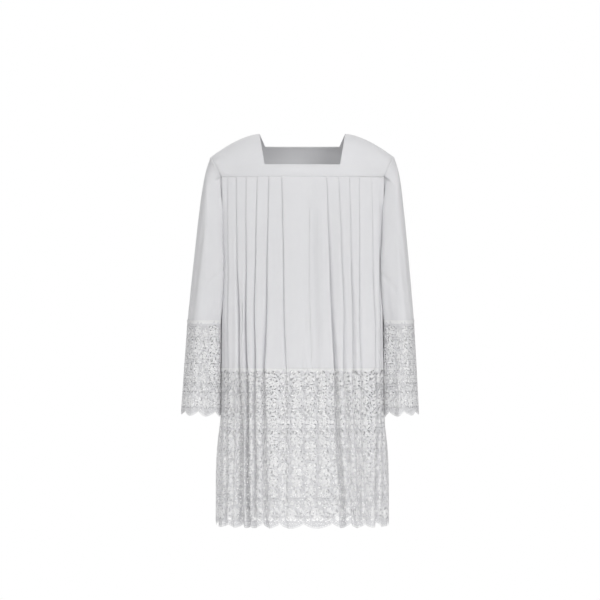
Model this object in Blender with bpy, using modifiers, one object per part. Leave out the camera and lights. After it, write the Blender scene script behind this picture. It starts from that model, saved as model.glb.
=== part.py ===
"""A lace surplice, worn: a square-necked yoke, a knife-pleated body, wide sleeves,
and deep flower lace with a scalloped edge at the hem and at both cuffs.

The frame: +X is the viewer's right, the front faces -Y, +Z is up. The origin lies
between the shoulders, level with the top of the neck opening, where a wearer holds
the garment up. Every piece is an open sheet of cloth that Solidify gives its wall.
Lengths are metres; the tables of folds are in millimetres.
"""

import math
from collections import namedtuple

import bmesh
import bpy
import numpy as np
from mathutils import Vector
from mathutils.geometry import delaunay_2d_cdt

MM = 0.001

# Driving sizes of the garment
WALL = 1.0 * MM
SEAM_GAP = 0.3 * MM
YOKE_SEAM = -0.112
LACE_SEAM = -0.610
HEM = -1.014
UNDERARM = -0.333
CUFF_SEAM = -0.487
CUFF_END = -0.727
CUFF_TILT = 0.006

# The neck opening and the shoulder line, seen from the front
NECK_AT_SHOULDER = 0.111
NECK_AT_FRONT = 0.097
SHOULDER_END = 0.237
SHOULDER_DROP = 0.060
SHOULDER_ROUNDING = 1.6
YOKE_CORNER = 0.211
FRONT_NECK_DEPTH = 0.083
BACK_NECK_DEPTH = 0.030

# Knife pleats, pressed flat under the yoke
LAYER = 1.7 * MM
UNDERLAP = 9.0 * MM
RIM = 3.0 * MM
CROWN = 2.5 * MM
LAP_SHARE = 0.4
BEND_SHARE = 0.35
FLOOR_DEPTH = 2.0 * MM
EDGE_MARGIN = 6.0 * MM

# The flower lace: one scallop is one repeat
REPEAT = 0.066
SCALLOP = 0.013
SCALLOP_POWER = 0.75
FLOWER_HEIGHT = 0.036
GAP_COUNT = 5
GAP_INNER = 7.5 * MM
GAP_OUTER = 17.0 * MM
GAP_WIDTH = 6.0 * MM
GAP_WIDEST = 0.62
GAP_SLIDES = [0.0, 1.0 * MM, -1.0 * MM, 2.0 * MM, -2.0 * MM, 3.0 * MM]
FOLD_MARGIN = 1.1 * MM
MARKS_PER_SCALLOP = 4

# A point inside the garment, which its faces point away from
CORE = Vector((0, 0, -0.5))

COTTON = {"color": (0.86, 0.86, 0.87, 1.0), "roughness": 0.85}
LACE = {"color": (0.88, 0.88, 0.88, 1.0), "roughness": 0.75}

# The outline that the body hangs in, from the yoke seam to the hem. squareness is the
# exponent of the superellipse, release is how far the pleats have opened, growth is
# how much of a fold's width and depth at the hem it has, and sink is how far the side
# under the arm lies inside the outline.
Section = namedtuple(
    "Section", "height half_width front back squareness release growth sink"
)
SECTIONS = [
    Section(-0.112, 0.2220, 0.090, 0.098, 2.7, 0.00, 0.15, 0.0035),
    Section(-0.200, 0.2160, 0.114, 0.114, 2.9, 0.22, 0.32, 0.0050),
    Section(-0.333, 0.2130, 0.128, 0.124, 3.1, 0.48, 0.48, 0.0050),
    Section(-0.450, 0.2130, 0.134, 0.130, 3.2, 0.66, 0.60, 0.0045),
    Section(-0.610, 0.2140, 0.144, 0.140, 3.2, 0.82, 0.72, 0.0040),
    Section(-0.727, 0.2155, 0.151, 0.147, 3.1, 0.93, 0.83, 0.0040),
    Section(-0.810, 0.2230, 0.156, 0.152, 3.0, 0.97, 0.90, 0.0020),
    Section(-1.014, 0.2265, 0.168, 0.165, 3.0, 1.00, 1.00, 0.0010),
]
OUTLINE_POINTS = 241

# Fold lines of a pleat, as distances from the centre front at four heights, then the
# gap between its rims and its depth at the hem, and how deep the panel on its centre
# side lies there. All in millimetres. A crease has no underlap.
Pleat = namedtuple("Pleat", "name top middle seam hem width depth panel_sink")
FRONT_RIGHT_PLEATS = [
    Pleat("r1", 52, 47, 44, 43, 9, 7, 0),
    Pleat("r2", 85, 93, 98, 91, 9, 20, 0),
    Pleat("r3", 115, 123, 123, 121, 8, 16, 0),
    Pleat("r4", 144, 146, 144, 140, 9, 30, 0),
    Pleat("r5", 170, 168, 166, 167, 10, 32, 20),
    Pleat("r6", 192, 192, 194, 198, 10, 12, 0),
    Pleat("r7", 207, 207, 209, 219, 10, 12, 0),
]
FRONT_LEFT_PLEATS = [
    Pleat("crease", 27, 30, 35, 39, 17, 22, 0),
    Pleat("l1", 61, 76, 84, 103, 11, 22, 0),
    Pleat("l2", 92, 106, 109, 131, 8, 9, 0),
    Pleat("l3", 120, 129, 132, 149, 8, 10, 0),
    Pleat("l4", 146, 148, 152, 169, 9, 10, 0),
    Pleat("l5", 178, 186, 192, 192, 10, 12, 0),
    Pleat("l6", 199, 201, 204, 210, 9, 8, 0),
    Pleat("l7", 211, 208, 210, 220, 9, 12, 0),
]
BACK_PLEATS = [
    Pleat("b1", 57, 62, 66, 74, 14, 18, 0),
    Pleat("b2", 88, 96, 102, 110, 10, 22, 0),
    Pleat("b3", 119, 126, 132, 138, 11, 14, 0),
    Pleat("b4", 148, 154, 160, 166, 10, 24, 0),
    Pleat("b5", 177, 184, 188, 190, 10, 14, 6),
    Pleat("b6", 197, 199, 202, 208, 10, 12, 0),
    Pleat("b7", 210, 208, 210, 220, 9, 12, 0),
]
PLEAT_HEIGHTS = [YOKE_SEAM, -0.433, LACE_SEAM, HEM]
BODY_HEIGHTS = [YOKE_SEAM, -0.165, -0.240, UNDERARM, -0.450, LACE_SEAM]
LACE_HEIGHTS = [LACE_SEAM - SEAM_GAP, -0.727, -0.810, HEM]

# Rings of a sleeve below its armhole: its outer and inner line seen from the front,
# how far it reaches to the front and the back, and how far it fills the hollow beside
# the body. The last ring is the lace seam.
Ring = namedtuple("Ring", "outer_x outer_z inner_x inner_z front back fill")
SLEEVE_RINGS = [
    Ring(0.2495, -0.095, 0.2110, -0.346, 0.074, 0.078, 0.004),
    Ring(0.2600, -0.147, 0.2125, -0.364, 0.086, 0.090, 0.007),
    Ring(0.2700, -0.225, 0.2135, -0.390, 0.094, 0.098, 0.007),
    Ring(0.2780, -0.303, 0.2150, -0.420, 0.099, 0.104, 0.006),
    Ring(0.2870, -0.394, 0.2165, -0.457, 0.102, 0.110, 0.003),
    Ring(0.2955, CUFF_SEAM, 0.2185, CUFF_SEAM, 0.104, 0.114, 0.0),
]
CUFF_RINGS = [
    Ring(0.2958, CUFF_SEAM - SEAM_GAP, 0.2185, CUFF_SEAM - SEAM_GAP, 0.104, 0.114, 0.0),
    Ring(0.3030, -0.607, 0.2200, -0.609, 0.106, 0.117, 0.0),
    Ring(0.3100, CUFF_END, 0.2215, CUFF_END - CUFF_TILT, 0.109, 0.120, 0.0),
]
SLEEVE_SQUARENESS = 2.3
SLEEVE_SEAM_OFFSET = 1.3 * MM
SLEEVE_LOBES = 5
CUFF_LOBE_DEPTH = 5.0 * MM
CUFF_COLUMNS = 13
# How much further out the outer line of each sleeve swings, between two heights
Swing = namedtuple("Swing", "amount start full")
SWINGS = {"right": Swing(0.0055, -0.200, -0.727), "left": Swing(-0.0068, -0.060, -0.180)}


# Curves through the tables


def column(name, height):
    """One column of SECTIONS at a height, on a cubic curve through its values."""
    heights = np.array([-s.height for s in SECTIONS])
    values = np.array([getattr(s, name) for s in SECTIONS])
    slopes = np.gradient(values, heights)
    at = min(max(-height, heights[0]), heights[-1])
    i = min(int(np.searchsorted(heights, at, side="right")) - 1, len(heights) - 2)
    span = heights[i + 1] - heights[i]
    t = (at - heights[i]) / span
    return float(
        (2 * t**3 - 3 * t**2 + 1) * values[i]
        + (t**3 - 2 * t**2 + t) * span * slopes[i]
        + (3 * t**2 - 2 * t**3) * values[i + 1]
        + (t**3 - t**2) * span * slopes[i + 1]
    )


def quarter_outline(height, reach):
    """(arc, x, y) along the outline, from its centre to its side, with arc as length."""
    exponent = 2 / column("squareness", height)
    angle = np.linspace(0, math.pi / 2, OUTLINE_POINTS)
    x = column("half_width", height) * np.sin(angle) ** exponent
    y = -reach * np.cos(angle) ** exponent
    arc = np.concatenate([[0], np.cumsum(np.hypot(np.diff(x), np.diff(y)))])
    return arc, x, y


def facets(outline, folds, sink):
    """The outline as flat panels that meet at the folds, with its side moved in."""
    arcs, xs, ys = outline
    at = np.array([0.0, *folds, arcs[-1]])
    x, y = np.interp(at, arcs, xs), np.interp(at, arcs, ys)
    x[-1] -= sink
    return at, np.stack([x, y], axis=1)


def panel_place(flats, arc, depth):
    """The point of a flat panel at an arc length from the centre, moved inwards."""
    at, corners = flats
    i = min(max(int(np.searchsorted(at, arc)) - 1, 0), len(at) - 2)
    run = corners[i + 1] - corners[i]
    share = (arc - at[i]) / (at[i + 1] - at[i])
    inwards = np.array([-run[1], run[0]]) / np.linalg.norm(run)
    return corners[i] + share * run + depth * inwards


def fold_place(flats, fold, along, depth):
    """A point near a fold, measured along and inwards from the corner that it makes."""
    at, corners = flats
    i = int(np.argmin(np.abs(at - fold)))
    before, after = corners[i] - corners[i - 1], corners[i + 1] - corners[i]
    run = before / np.linalg.norm(before) + after / np.linalg.norm(after)
    run = run / np.linalg.norm(run)
    return corners[i] + along * run + depth * np.array([-run[1], run[0]])


# The pleated body


def fold_arcs(pleats, height, outline):
    """Where the folds of half a panel lie, as lengths along the outline."""
    arcs = []
    for pleat in pleats:
        distances = [pleat.hem, pleat.seam, pleat.middle, pleat.top]
        x = np.interp(height, PLEAT_HEIGHTS[::-1], distances) * MM
        arcs.append(float(np.interp(x, outline[1], outline[0])))
    return arcs


def half_section(pleats, height, folds, flats):
    """Half of a panel's section, from its centre to its last rim, and that rim's arc.

    Pressed, a pleat is three layers: its folded edge, the return under it and the next
    panel, all leaning by two layers over one panel. Open, it is a valley with two rims.
    The two forms are mixed by the section's release."""
    release, growth = column("release", height), column("growth", height)
    points, rim, rim_depth, last_sink = [panel_place(flats, 0.0, 0.0)], 0.0, 0.0, 0.0
    for pleat, fold in zip(pleats, folds):
        width, depth = pleat.width * MM * growth, pleat.depth * MM * growth
        sink = pleat.panel_sink * MM * growth**3
        share = release if pleat.name != "crease" else 1.0
        lean = 2 * LAYER / (fold - rim + RIM)
        lap = min(UNDERLAP, LAP_SHARE * (fold - rim))
        pressed = [
            (fold, 0.0),
            (fold, LAYER),
            (fold - lap, LAYER + lean * lap),
            (fold - lap, 2 * LAYER + lean * lap),
            (fold + RIM, 2 * LAYER - lean * RIM),
        ]
        floor = max(depth, sink + FLOOR_DEPTH)
        opened = [
            (-width / 2 - RIM, sink),
            (-width / 2, sink + BEND_SHARE * (depth - sink)),
            (-width / 4, floor),
            (width / 4, floor),
            (width / 2 + RIM, 0.0),
        ]
        shape = [
            (1 - share) * panel_place(flats, *p) + share * fold_place(flats, fold, *o)
            for p, o in zip(pressed, opened)
        ]
        edge = fold - share * (width / 2 + RIM)
        crown = CROWN * growth * release if sink == last_sink == 0 else 0.0
        middle_depth = ((1 - share) * rim_depth + share * sink + last_sink) / 2
        points.append(panel_place(flats, (rim + edge) / 2, middle_depth - crown))
        points += shape
        rim = fold + (1 - share) * RIM + share * (width / 2 + RIM)
        rim_depth, last_sink = (1 - share) * pressed[-1][1], sink
    return points, rim, rim_depth


def panel_section(face, height):
    """The points of a body panel's section at a height, from its right edge to its left
    edge as worn."""
    reach = column("front" if face == "front" else "back", height)
    outline = quarter_outline(height, reach)
    tables = {
        "front": (FRONT_RIGHT_PLEATS, FRONT_LEFT_PLEATS),
        "back": (BACK_PLEATS, BACK_PLEATS),
    }
    turn = -1 if face == "back" else 1
    points = []
    for side, pleats in zip((-1, 1), tables[face]):
        folds = fold_arcs(pleats, height, outline)
        flats = facets(outline, folds, column("sink", height))
        half, rim, rim_depth = half_section(pleats, height, folds, flats)
        edge = armhole_arc(height, outline, rim)
        half.append(panel_place(flats, (rim + edge) / 2, rim_depth / 3))
        half.append(panel_place(flats, edge, 0.0))
        half = [(side * x, turn * y, height) for x, y in half]
        points = half[:0:-1] if side == -1 else points + half
    return points


def armhole_arc(height, outline, last_rim):
    """Arc length of a panel's side edge: the armhole's curve above the underarm and
    the side seam below it."""
    gap = SEAM_GAP / 2
    if height <= UNDERARM:
        return outline[0][-1] - gap
    drop = (YOKE_SEAM - height) / (YOKE_SEAM - UNDERARM)
    share = 1 - math.sqrt(1 - min(drop, 1.0) ** 2)
    top = last_rim + EDGE_MARGIN
    return top + share * (outline[0][-1] - gap - top)


def body_grid(face, heights):
    """Rows of section points for a body panel."""
    return [panel_section(face, height) for height in heights]


# The yoke


def shoulder_height(x):
    """Height of the shoulder line at a distance from the centre."""
    share = max(0.0, abs(x) - NECK_AT_SHOULDER) / (SHOULDER_END - NECK_AT_SHOULDER)
    return -SHOULDER_DROP * share**SHOULDER_ROUNDING


def yoke_point(face, side, across, down):
    """A point of the yoke. across is 0 at the neck edge and 1 at the armhole, and
    below 0 it crosses the chest to -1 at the centre; down is 0 on the shoulder seam
    and 1 on the yoke seam. Each fore-and-aft profile is a quarter of an ellipse."""
    fall = 1 - math.cos(down * math.pi / 2)
    forward = math.sin(down * math.pi / 2)
    neck_depth = FRONT_NECK_DEPTH if face == "front" else BACK_NECK_DEPTH
    neck_fall = min(1.0, fall * -YOKE_SEAM / neck_depth)
    neck = NECK_AT_SHOULDER - (NECK_AT_SHOULDER - NECK_AT_FRONT) * neck_fall
    arm = SHOULDER_END - (SHOULDER_END - YOKE_CORNER) * fall
    x = neck + across * (arm - neck) if across >= 0 else neck * (1 + across)
    reach = column("front" if face == "front" else "back", YOKE_SEAM)
    outline = quarter_outline(YOKE_SEAM, reach)
    seam_x = x if across <= 0 else neck + across * (YOKE_CORNER - neck)
    seam_y = np.interp(seam_x, outline[1], outline[2])
    top = shoulder_height(NECK_AT_SHOULDER + across * (SHOULDER_END - NECK_AT_SHOULDER))
    if across < 0:
        top = 0.0
    bottom = YOKE_SEAM + SEAM_GAP
    y = -SEAM_GAP / 2 + forward * (seam_y + SEAM_GAP / 2)
    turn = -1 if face == "back" else 1
    return side * x, turn * y, top + fall * (bottom - top)


def neck_down(face):
    """The share of a yoke's profile at which its neckline crosses the chest."""
    depth = FRONT_NECK_DEPTH if face == "front" else BACK_NECK_DEPTH
    return 2 / math.pi * math.acos(1 - depth / -YOKE_SEAM)


def yoke_rows(face):
    """Shares of the profile for the rows of a yoke, and how many lie above the
    neckline."""
    neck = neck_down(face)
    above = 4 if face == "front" else 3
    below = 2 if face == "front" else 3
    rows = [neck * i / above for i in range(above)]
    rows += [neck + (1 - neck) * i / below for i in range(below + 1)]
    return rows, above


def make_yoke(face):
    """One yoke: two straps and the strip under the neckline."""
    rows, above = yoke_rows(face)
    strap = [i / 5 for i in range(6)]
    chest = [-1 + i / 3 for i in range(3)]
    lines = [(-1, across) for across in strap[::-1] + chest[:0:-1]]
    lines += [(1, across) for across in [-1.0] + chest[1:] + strap]
    grid = [[yoke_point(face, s, a, down) for s, a in lines] for down in rows]
    cells = []
    for row in range(len(rows) - 1):
        for i in range(len(lines) - 1):
            inner = lines[i][1] < 0 or lines[i + 1][1] < 0
            if row >= above or not inner:
                cells.append((row, i))
    return cloth(f"yoke_{face}", grid, COTTON, cells)


# Sleeves and cuffs


def armhole_front(face):
    """The armhole of the +X side, from the shoulder down to the underarm."""
    rows, _ = yoke_rows(face)
    points = [yoke_point(face, 1, 1.0, down) for down in rows]
    for height in BODY_HEIGHTS[1:4]:
        points.append(panel_section(face, height)[-1])
    return points


def ring_point(ring, angle, face, lobes):
    """A point of a sleeve ring. angle runs from 0 on its outer line to pi on its
    inner line, and lobes is the depth of its soft folds. The ring is a superellipse,
    fuller beside the body by its fill."""
    swell = 2 / SLEEVE_SQUARENESS
    along = math.copysign(abs(math.cos(angle)) ** swell, math.cos(angle))
    aside = abs(math.sin(angle)) ** swell
    reach = ring.front if face == "front" else ring.back
    wave = lobes * math.sin(SLEEVE_LOBES * angle) * abs(math.sin(angle))
    middle_x, middle_z = (
        (ring.outer_x + ring.inner_x) / 2,
        (ring.outer_z + ring.inner_z) / 2,
    )
    half_x, half_z = (
        (ring.outer_x - ring.inner_x) / 2,
        (ring.outer_z - ring.inner_z) / 2,
    )
    y = aside * (reach - abs(wave))
    turn = -1 if face == "front" else 1
    fill = ring.fill * math.sin(2 * angle) ** 2 if angle > math.pi / 2 else 0.0
    return middle_x + along * half_x - fill, turn * y, middle_z + along * half_z


def swung(points, side):
    """Points of the +X sleeve, swung out and set on their side."""
    sign = 1 if side == "left" else -1
    swing = SWINGS[side]
    inner, outer = CUFF_RINGS[-1].inner_x, CUFF_RINGS[-1].outer_x
    out = []
    for x, y, z in points:
        down = min(1.0, max(0.0, (z - swing.start) / (swing.full - swing.start)))
        outwards = min(1.0, max(0.0, (x - inner) / (outer - inner)))
        out.append((sign * (x + swing.amount * down * outwards), y, z))
    return out


def sleeve_angles(face):
    """The armhole's points as angles round a ring, by their length along it."""
    points = np.array(armhole_front(face))
    steps = np.linalg.norm(np.diff(points, axis=0), axis=1)
    return np.concatenate([[0], np.cumsum(steps)]) / steps.sum() * math.pi


def make_sleeve(side):
    """One sleeve, from the armhole to the lace seam, as a closed tube."""
    front, back = armhole_front("front"), armhole_front("back")
    loop = front + back[-2:0:-1]
    first = [(x + SLEEVE_SEAM_OFFSET, y, z) for x, y, z in loop]
    grid = [swung(first, side)]
    for ring in SLEEVE_RINGS:
        ahead = [ring_point(ring, a, "front", 0.0) for a in sleeve_angles("front")]
        behind = [ring_point(ring, a, "back", 0.0) for a in sleeve_angles("back")]
        grid.append(swung(ahead + behind[-2:0:-1], side))
    return cloth(f"sleeve_{side}", grid, COTTON, closed=True)


def cuff_grid(side, face):
    """Section points of half a lace cuff, from its outer line to its inner line."""
    angles = np.linspace(0, math.pi, CUFF_COLUMNS)
    grid = []
    for i, ring in enumerate(CUFF_RINGS):
        lobes = CUFF_LOBE_DEPTH * i / (len(CUFF_RINGS) - 1)
        row = [ring_point(ring, a, face, lobes) for a in angles]
        away = SEAM_GAP if face == "back" else -SEAM_GAP
        row = [(x, y + away, z) for x, y, z in row]
        grid.append(swung(row, side))
    return grid


# Flat lace, cut and then draped


def scallop_drop(along, repeat):
    """How far below its cusps a scalloped edge hangs at a length along it."""
    return SCALLOP * abs(math.sin(math.pi * along / repeat)) ** SCALLOP_POWER


def clear_of(folds, along):
    """Whether a place keeps its distance from every fold line, which avoids slivers."""
    return all(abs(along - fold) > FOLD_MARGIN for fold in folds)


def flower_gaps(length, repeat, depth, folds):
    """The openings round the border flower of each repeat, as kites in the flat. One
    whose corner would touch a fold line slides along until it is clear."""
    gaps = []
    for i in range(round(length / repeat)):
        for k in range(GAP_COUNT):
            angle = 2 * math.pi * (k + 0.5) / GAP_COUNT + math.pi / 2
            out = Vector((math.cos(angle), -math.sin(angle)))
            across = Vector((-out.y, out.x)) * GAP_WIDTH / 2
            wide = GAP_INNER + GAP_WIDEST * (GAP_OUTER - GAP_INNER)
            for slide in GAP_SLIDES:
                centre = Vector(((i + 0.5) * repeat + slide, depth - FLOWER_HEIGHT))
                kite = [
                    centre + out * GAP_INNER,
                    centre + out * wide - across,
                    centre + out * GAP_OUTER,
                    centre + out * wide + across,
                ]
                if all(clear_of(folds, corner.x) for corner in kite):
                    gaps.append(kite)
                    break
    return gaps


def scalloped_edge(length, repeat, cusp, folds):
    """The lower edge in the flat: its point on every fold line, and in between."""
    count = MARKS_PER_SCALLOP * round(length / repeat)
    marks = [i * repeat / MARKS_PER_SCALLOP for i in range(1, count)]
    marks = [mark for mark in marks if clear_of(folds, mark)]
    return {s: Vector((s, cusp + scallop_drop(s, repeat))) for s in [*marks, *folds]}


def make_lace(name, grid):
    """Lace cut flat, with a scalloped edge and its largest gaps, then draped over a
    grid of section points. Flat lengths run along the grid's first row."""
    points = np.array(grid)
    steps = np.linalg.norm(np.diff(points, axis=1), axis=2).mean(axis=0)
    folds = np.concatenate([[0], np.cumsum(steps)])
    levels = points[0, :, 2].mean() - points[:, :, 2].mean(axis=1)
    length, depth = folds[-1], levels[-1]
    repeat = length / round(length / REPEAT)
    bottom = scalloped_edge(length, repeat, depth - SCALLOP, folds)
    lower = [bottom[along] for along in sorted(bottom, reverse=True)]
    corners = [Vector((0, 0)), Vector((length, 0)), *lower]
    flat, faces, edges = [], [], []
    for polygon in [corners, *flower_gaps(length, repeat, depth, folds)]:
        faces.append(list(range(len(flat), len(flat) + len(polygon))))
        flat += polygon
    for fold in folds[1:-1]:
        edges.append((len(flat), len(flat) + 1))
        flat += [Vector((fold, 0)), bottom[fold]]
    for level in levels[1:-1]:
        edges.append((len(flat), len(flat) + 1))
        flat += [Vector((0, level)), Vector((length, level))]
    made = delaunay_2d_cdt(flat, edges, faces, 1, 1e-6, True)
    kept = [f for f, origins in zip(made[2], made[5]) if origins == [0]]
    draped = [drape(points, folds, levels, p) for p in made[0]]
    return sheet(name, draped, kept, LACE)


def drape(points, folds, levels, place):
    """The point of the grid that a flat place comes to lie on."""
    i = min(int(np.searchsorted(folds, place.x, side="right")) - 1, len(folds) - 2)
    j = min(int(np.searchsorted(levels, place.y, side="right")) - 1, len(levels) - 2)
    i, j = max(i, 0), max(j, 0)
    u = (place.x - folds[i]) / (folds[i + 1] - folds[i])
    v = (place.y - levels[j]) / (levels[j + 1] - levels[j])
    upper = points[j, i] * (1 - u) + points[j, i + 1] * u
    lower = points[j + 1, i] * (1 - u) + points[j + 1, i + 1] * u
    return upper * (1 - v) + lower * v


# Blender objects


def material(name, finish):
    """A Principled material of the cloth's colour."""
    found = bpy.data.materials.get(name)
    if found:
        return found
    made = bpy.data.materials.new(name)
    made.use_nodes = True
    shader = made.node_tree.nodes["Principled BSDF"]
    shader.inputs["Base Color"].default_value = finish["color"]
    shader.inputs["Roughness"].default_value = finish["roughness"]
    shader.inputs["Metallic"].default_value = 0.0
    made.diffuse_color = finish["color"]
    return made


def sheet(name, points, faces, finish):
    """An open sheet with a wall of cloth from Solidify, centred on the sheet."""
    mesh = bpy.data.meshes.new(name)
    mesh.from_pydata([tuple(p) for p in points], [], faces)
    work = bmesh.new()
    work.from_mesh(mesh)
    loose = [v for v in work.verts if not v.link_faces]
    bmesh.ops.delete(work, geom=loose, context="VERTS")
    bmesh.ops.recalc_face_normals(work, faces=work.faces)
    outward = sum((f.normal.dot(f.calc_center_median() - CORE) for f in work.faces))
    if outward < 0:
        bmesh.ops.reverse_faces(work, faces=work.faces)
    work.to_mesh(mesh)
    work.free()
    obj = bpy.data.objects.new(name, mesh)
    PARTS.objects.link(obj)
    mesh.materials.append(material("lace" if finish is LACE else "cotton", finish))
    wall = obj.modifiers.new("wall", "SOLIDIFY")
    wall.thickness = WALL
    wall.offset = 0
    wall.use_rim = True
    return obj


def cloth(name, grid, finish, cells=None, closed=False):
    """A sheet lofted through rows of points. cells picks the faces of a cut panel."""
    rows, width = len(grid), len(grid[0])
    across = width if closed else width - 1
    if cells is None:
        cells = [(row, i) for row in range(rows - 1) for i in range(across)]
    faces = []
    for row, i in cells:
        a, b = row * width + i, row * width + (i + 1) % width
        faces.append((a, b, b + width, a + width))
    points = [point for row in grid for point in row]
    return sheet(name, points, faces, finish)


def build():
    """The whole garment."""
    for face in ("front", "back"):
        make_yoke(face)
        cloth(f"body_{face}", body_grid(face, BODY_HEIGHTS), COTTON)
        make_lace(f"hem_lace_{face}", body_grid(face, LACE_HEIGHTS))
    for side in ("right", "left"):
        make_sleeve(side)
        for face in ("front", "back"):
            make_lace(f"cuff_lace_{side}_{face}", cuff_grid(side, face))


for old in list(bpy.data.objects):
    bpy.data.objects.remove(old, do_unlink=True)
PARTS = bpy.data.collections.new("lace_surplice")
bpy.context.scene.collection.children.link(PARTS)
build()
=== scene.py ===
"""The look of a lace surplice: pressed and falling pleats, deep cut lace at the hem and
the cuffs, sewing, finishes, a pale stage and the camera.

The frame gives the solids. Every cloth here is a thin surface over its own solid,
worked out from the same fold tables, so it hangs where the solid hangs. Lengths are
metres unless a name ends in _mm, angles are in degrees, and the front faces -Y.
"""

import math
from collections import namedtuple

import bpy
import numpy as np
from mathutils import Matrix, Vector
from mathutils.geometry import delaunay_2d_cdt


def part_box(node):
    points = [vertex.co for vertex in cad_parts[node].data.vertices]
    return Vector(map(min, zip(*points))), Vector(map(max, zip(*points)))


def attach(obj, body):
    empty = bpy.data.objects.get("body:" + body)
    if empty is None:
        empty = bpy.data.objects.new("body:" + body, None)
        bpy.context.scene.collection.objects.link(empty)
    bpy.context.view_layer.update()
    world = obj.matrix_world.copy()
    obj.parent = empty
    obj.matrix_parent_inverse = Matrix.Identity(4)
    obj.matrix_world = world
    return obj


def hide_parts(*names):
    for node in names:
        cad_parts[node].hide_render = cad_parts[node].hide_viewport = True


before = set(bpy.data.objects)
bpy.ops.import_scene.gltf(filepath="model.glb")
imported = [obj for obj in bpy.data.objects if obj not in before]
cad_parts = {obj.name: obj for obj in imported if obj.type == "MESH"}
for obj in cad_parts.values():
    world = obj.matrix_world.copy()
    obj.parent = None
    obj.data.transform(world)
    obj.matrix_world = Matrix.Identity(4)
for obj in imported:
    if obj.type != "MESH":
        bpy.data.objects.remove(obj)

bl_info = {
    "name": "Lace surplice",
    "version": (1, 0, 0),
    "blender": (4, 5, 0),
    "location": "3D View > Sidebar > Surplice",
    "description": "Drapes the cloth, lace and sewing of a pleated surplice",
    "category": "Object",
}

MM = 0.001
BODY = "root"
OUTWARD = {"front": -1, "back": 1}
SIGN = {"right": -1, "left": 1}

# Heights of the seams and the hem, read from the solids, and of the armhole's end
YOKE_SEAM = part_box("body_front")[1][2]
LACE_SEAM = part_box("body_front")[0][2]
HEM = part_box("hem_lace_front")[0][2]
UNDERARM = -0.333

# The yoke: its depth, its neck opening and its shoulder line
YOKE_DEPTH = 0.112
NECK_AT_SHOULDER = 0.111
NECK_AT_FRONT = 0.097
SHOULDER_END = 0.237
SHOULDER_DROP = 0.060
SHOULDER_ROUNDING = 1.6
YOKE_CORNER = 0.211
NECK_DEPTHS = {"front": 0.083, "back": 0.030}
SEAM_GAP = 0.3 * MM

# Rows of points down a yoke beside and below its neck, and columns across its strap
# and half its chest
ROWS_BESIDE_NECK = 44
ROWS_BELOW_NECK = 26
STRAP_COLUMNS = 44
CHEST_COLUMNS = 34

# The yoke's lower edge: where its lift off the pleats starts and over how much of its
# depth it grows, the lift, and the turned edge's rows as (in, down) in millimetres
EDGE_LIFT_FROM = 0.90
EDGE_LIFT_OVER = 0.05
EDGE_LIFT = 0.35 * MM
TURNED_EDGE_MM = ((0.0, 1.0), (0.1, 1.15), (0.5, 1.25))

# Pressed pleats: the distance between layers and what a pleat laps under, at most this
# share of the panel, the rim beside a fold, the depth of the narrow groove under each
# folded edge, the height over which the pleats come out of the yoke seam, and the
# share of a layer that they have in it
LAYER = 1.7 * MM
UNDERLAP = 9 * MM
UNDERLAP_SHARE = 0.4
RIM = 3 * MM
GROOVE = 7 * MM
PRESSED_HEIGHT = 0.014
PRESSED_SHARE = 0.15

# Open folds: the crown of the panels between them, the least depth of a fold, how much
# of its depth the rim's foot has, and the shares of a panel's width that have points of
# their own. The wide centre panel takes soft creases, so it has more.
CROWN = 2.5 * MM
LEAST_DEPTH = 2 * MM
RIM_FOOT = 0.35
PANEL_POINTS = (0.5,)
CENTRE_PANEL_POINTS = (0.2, 0.4, 0.6, 0.8)

# The soft crease: the share of its hem width that it has at the yoke, and the power of
# the section's growth by which its depth comes, and by which a panel comes to lie deep
CREASE_WIDTH = 0.6
CREASE_POWER = 1.6
SINK_POWER = 3

# A corner of a pleat is rounded by this radius where it is pressed, by so much more
# where it is open, growing by this power, by at most this share of its sides, and in
# so many points
PRESSED_RADIUS_MM = 0.8
OPEN_RADIUS_MM = 9.5
RADIUS_POWER = 1.3
CORNER_SHARE = 0.48
CORNER_STEPS = 4

# Long folds sway from a depth below the shoulders, over a height, by radians a metre
# that differ between three neighbours, and by a phase for each fold
SWAY_FROM = 0.15
SWAY_OVER = 0.35
SWAY_RATES = (17, 20, 23)
SWAY_PHASE = 1.9

# Unevenness of hanging cloth: each wave's share, radians a metre across and down, and
# phase, the rate at which the last one comes and goes, and where all fade below the
# yoke and towards the sides. It pushes square to an ellipse of the body's mean size.
WAVES = ((0.5, 41, 9, 0.4), (0.3, 23, -17, 2.1))
LAST_WAVE = (0.3, 67, 26, 4.0)
LAST_WAVE_DOWN = 13
FLUTTER_EASE = 0.20
FLUTTER_SIDE = 0.215
FLUTTER_SIDE_WIDTH = 0.03
BODY_FLUTTER_SHARE = 0.6
MEAN_HALF_WIDTH = 0.22
MEAN_REACH = 0.15

# Points of a quarter outline, rows down a panel, even columns across its lace, and its
# clearance at the seams and beside the last pleat
OUTLINE_POINTS = 241
PANEL_ROWS = 84
LACE_COLUMNS = 1500
PANEL_CLEARANCE = 0.2 * MM
ARMHOLE_MARGIN = 6 * MM

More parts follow.
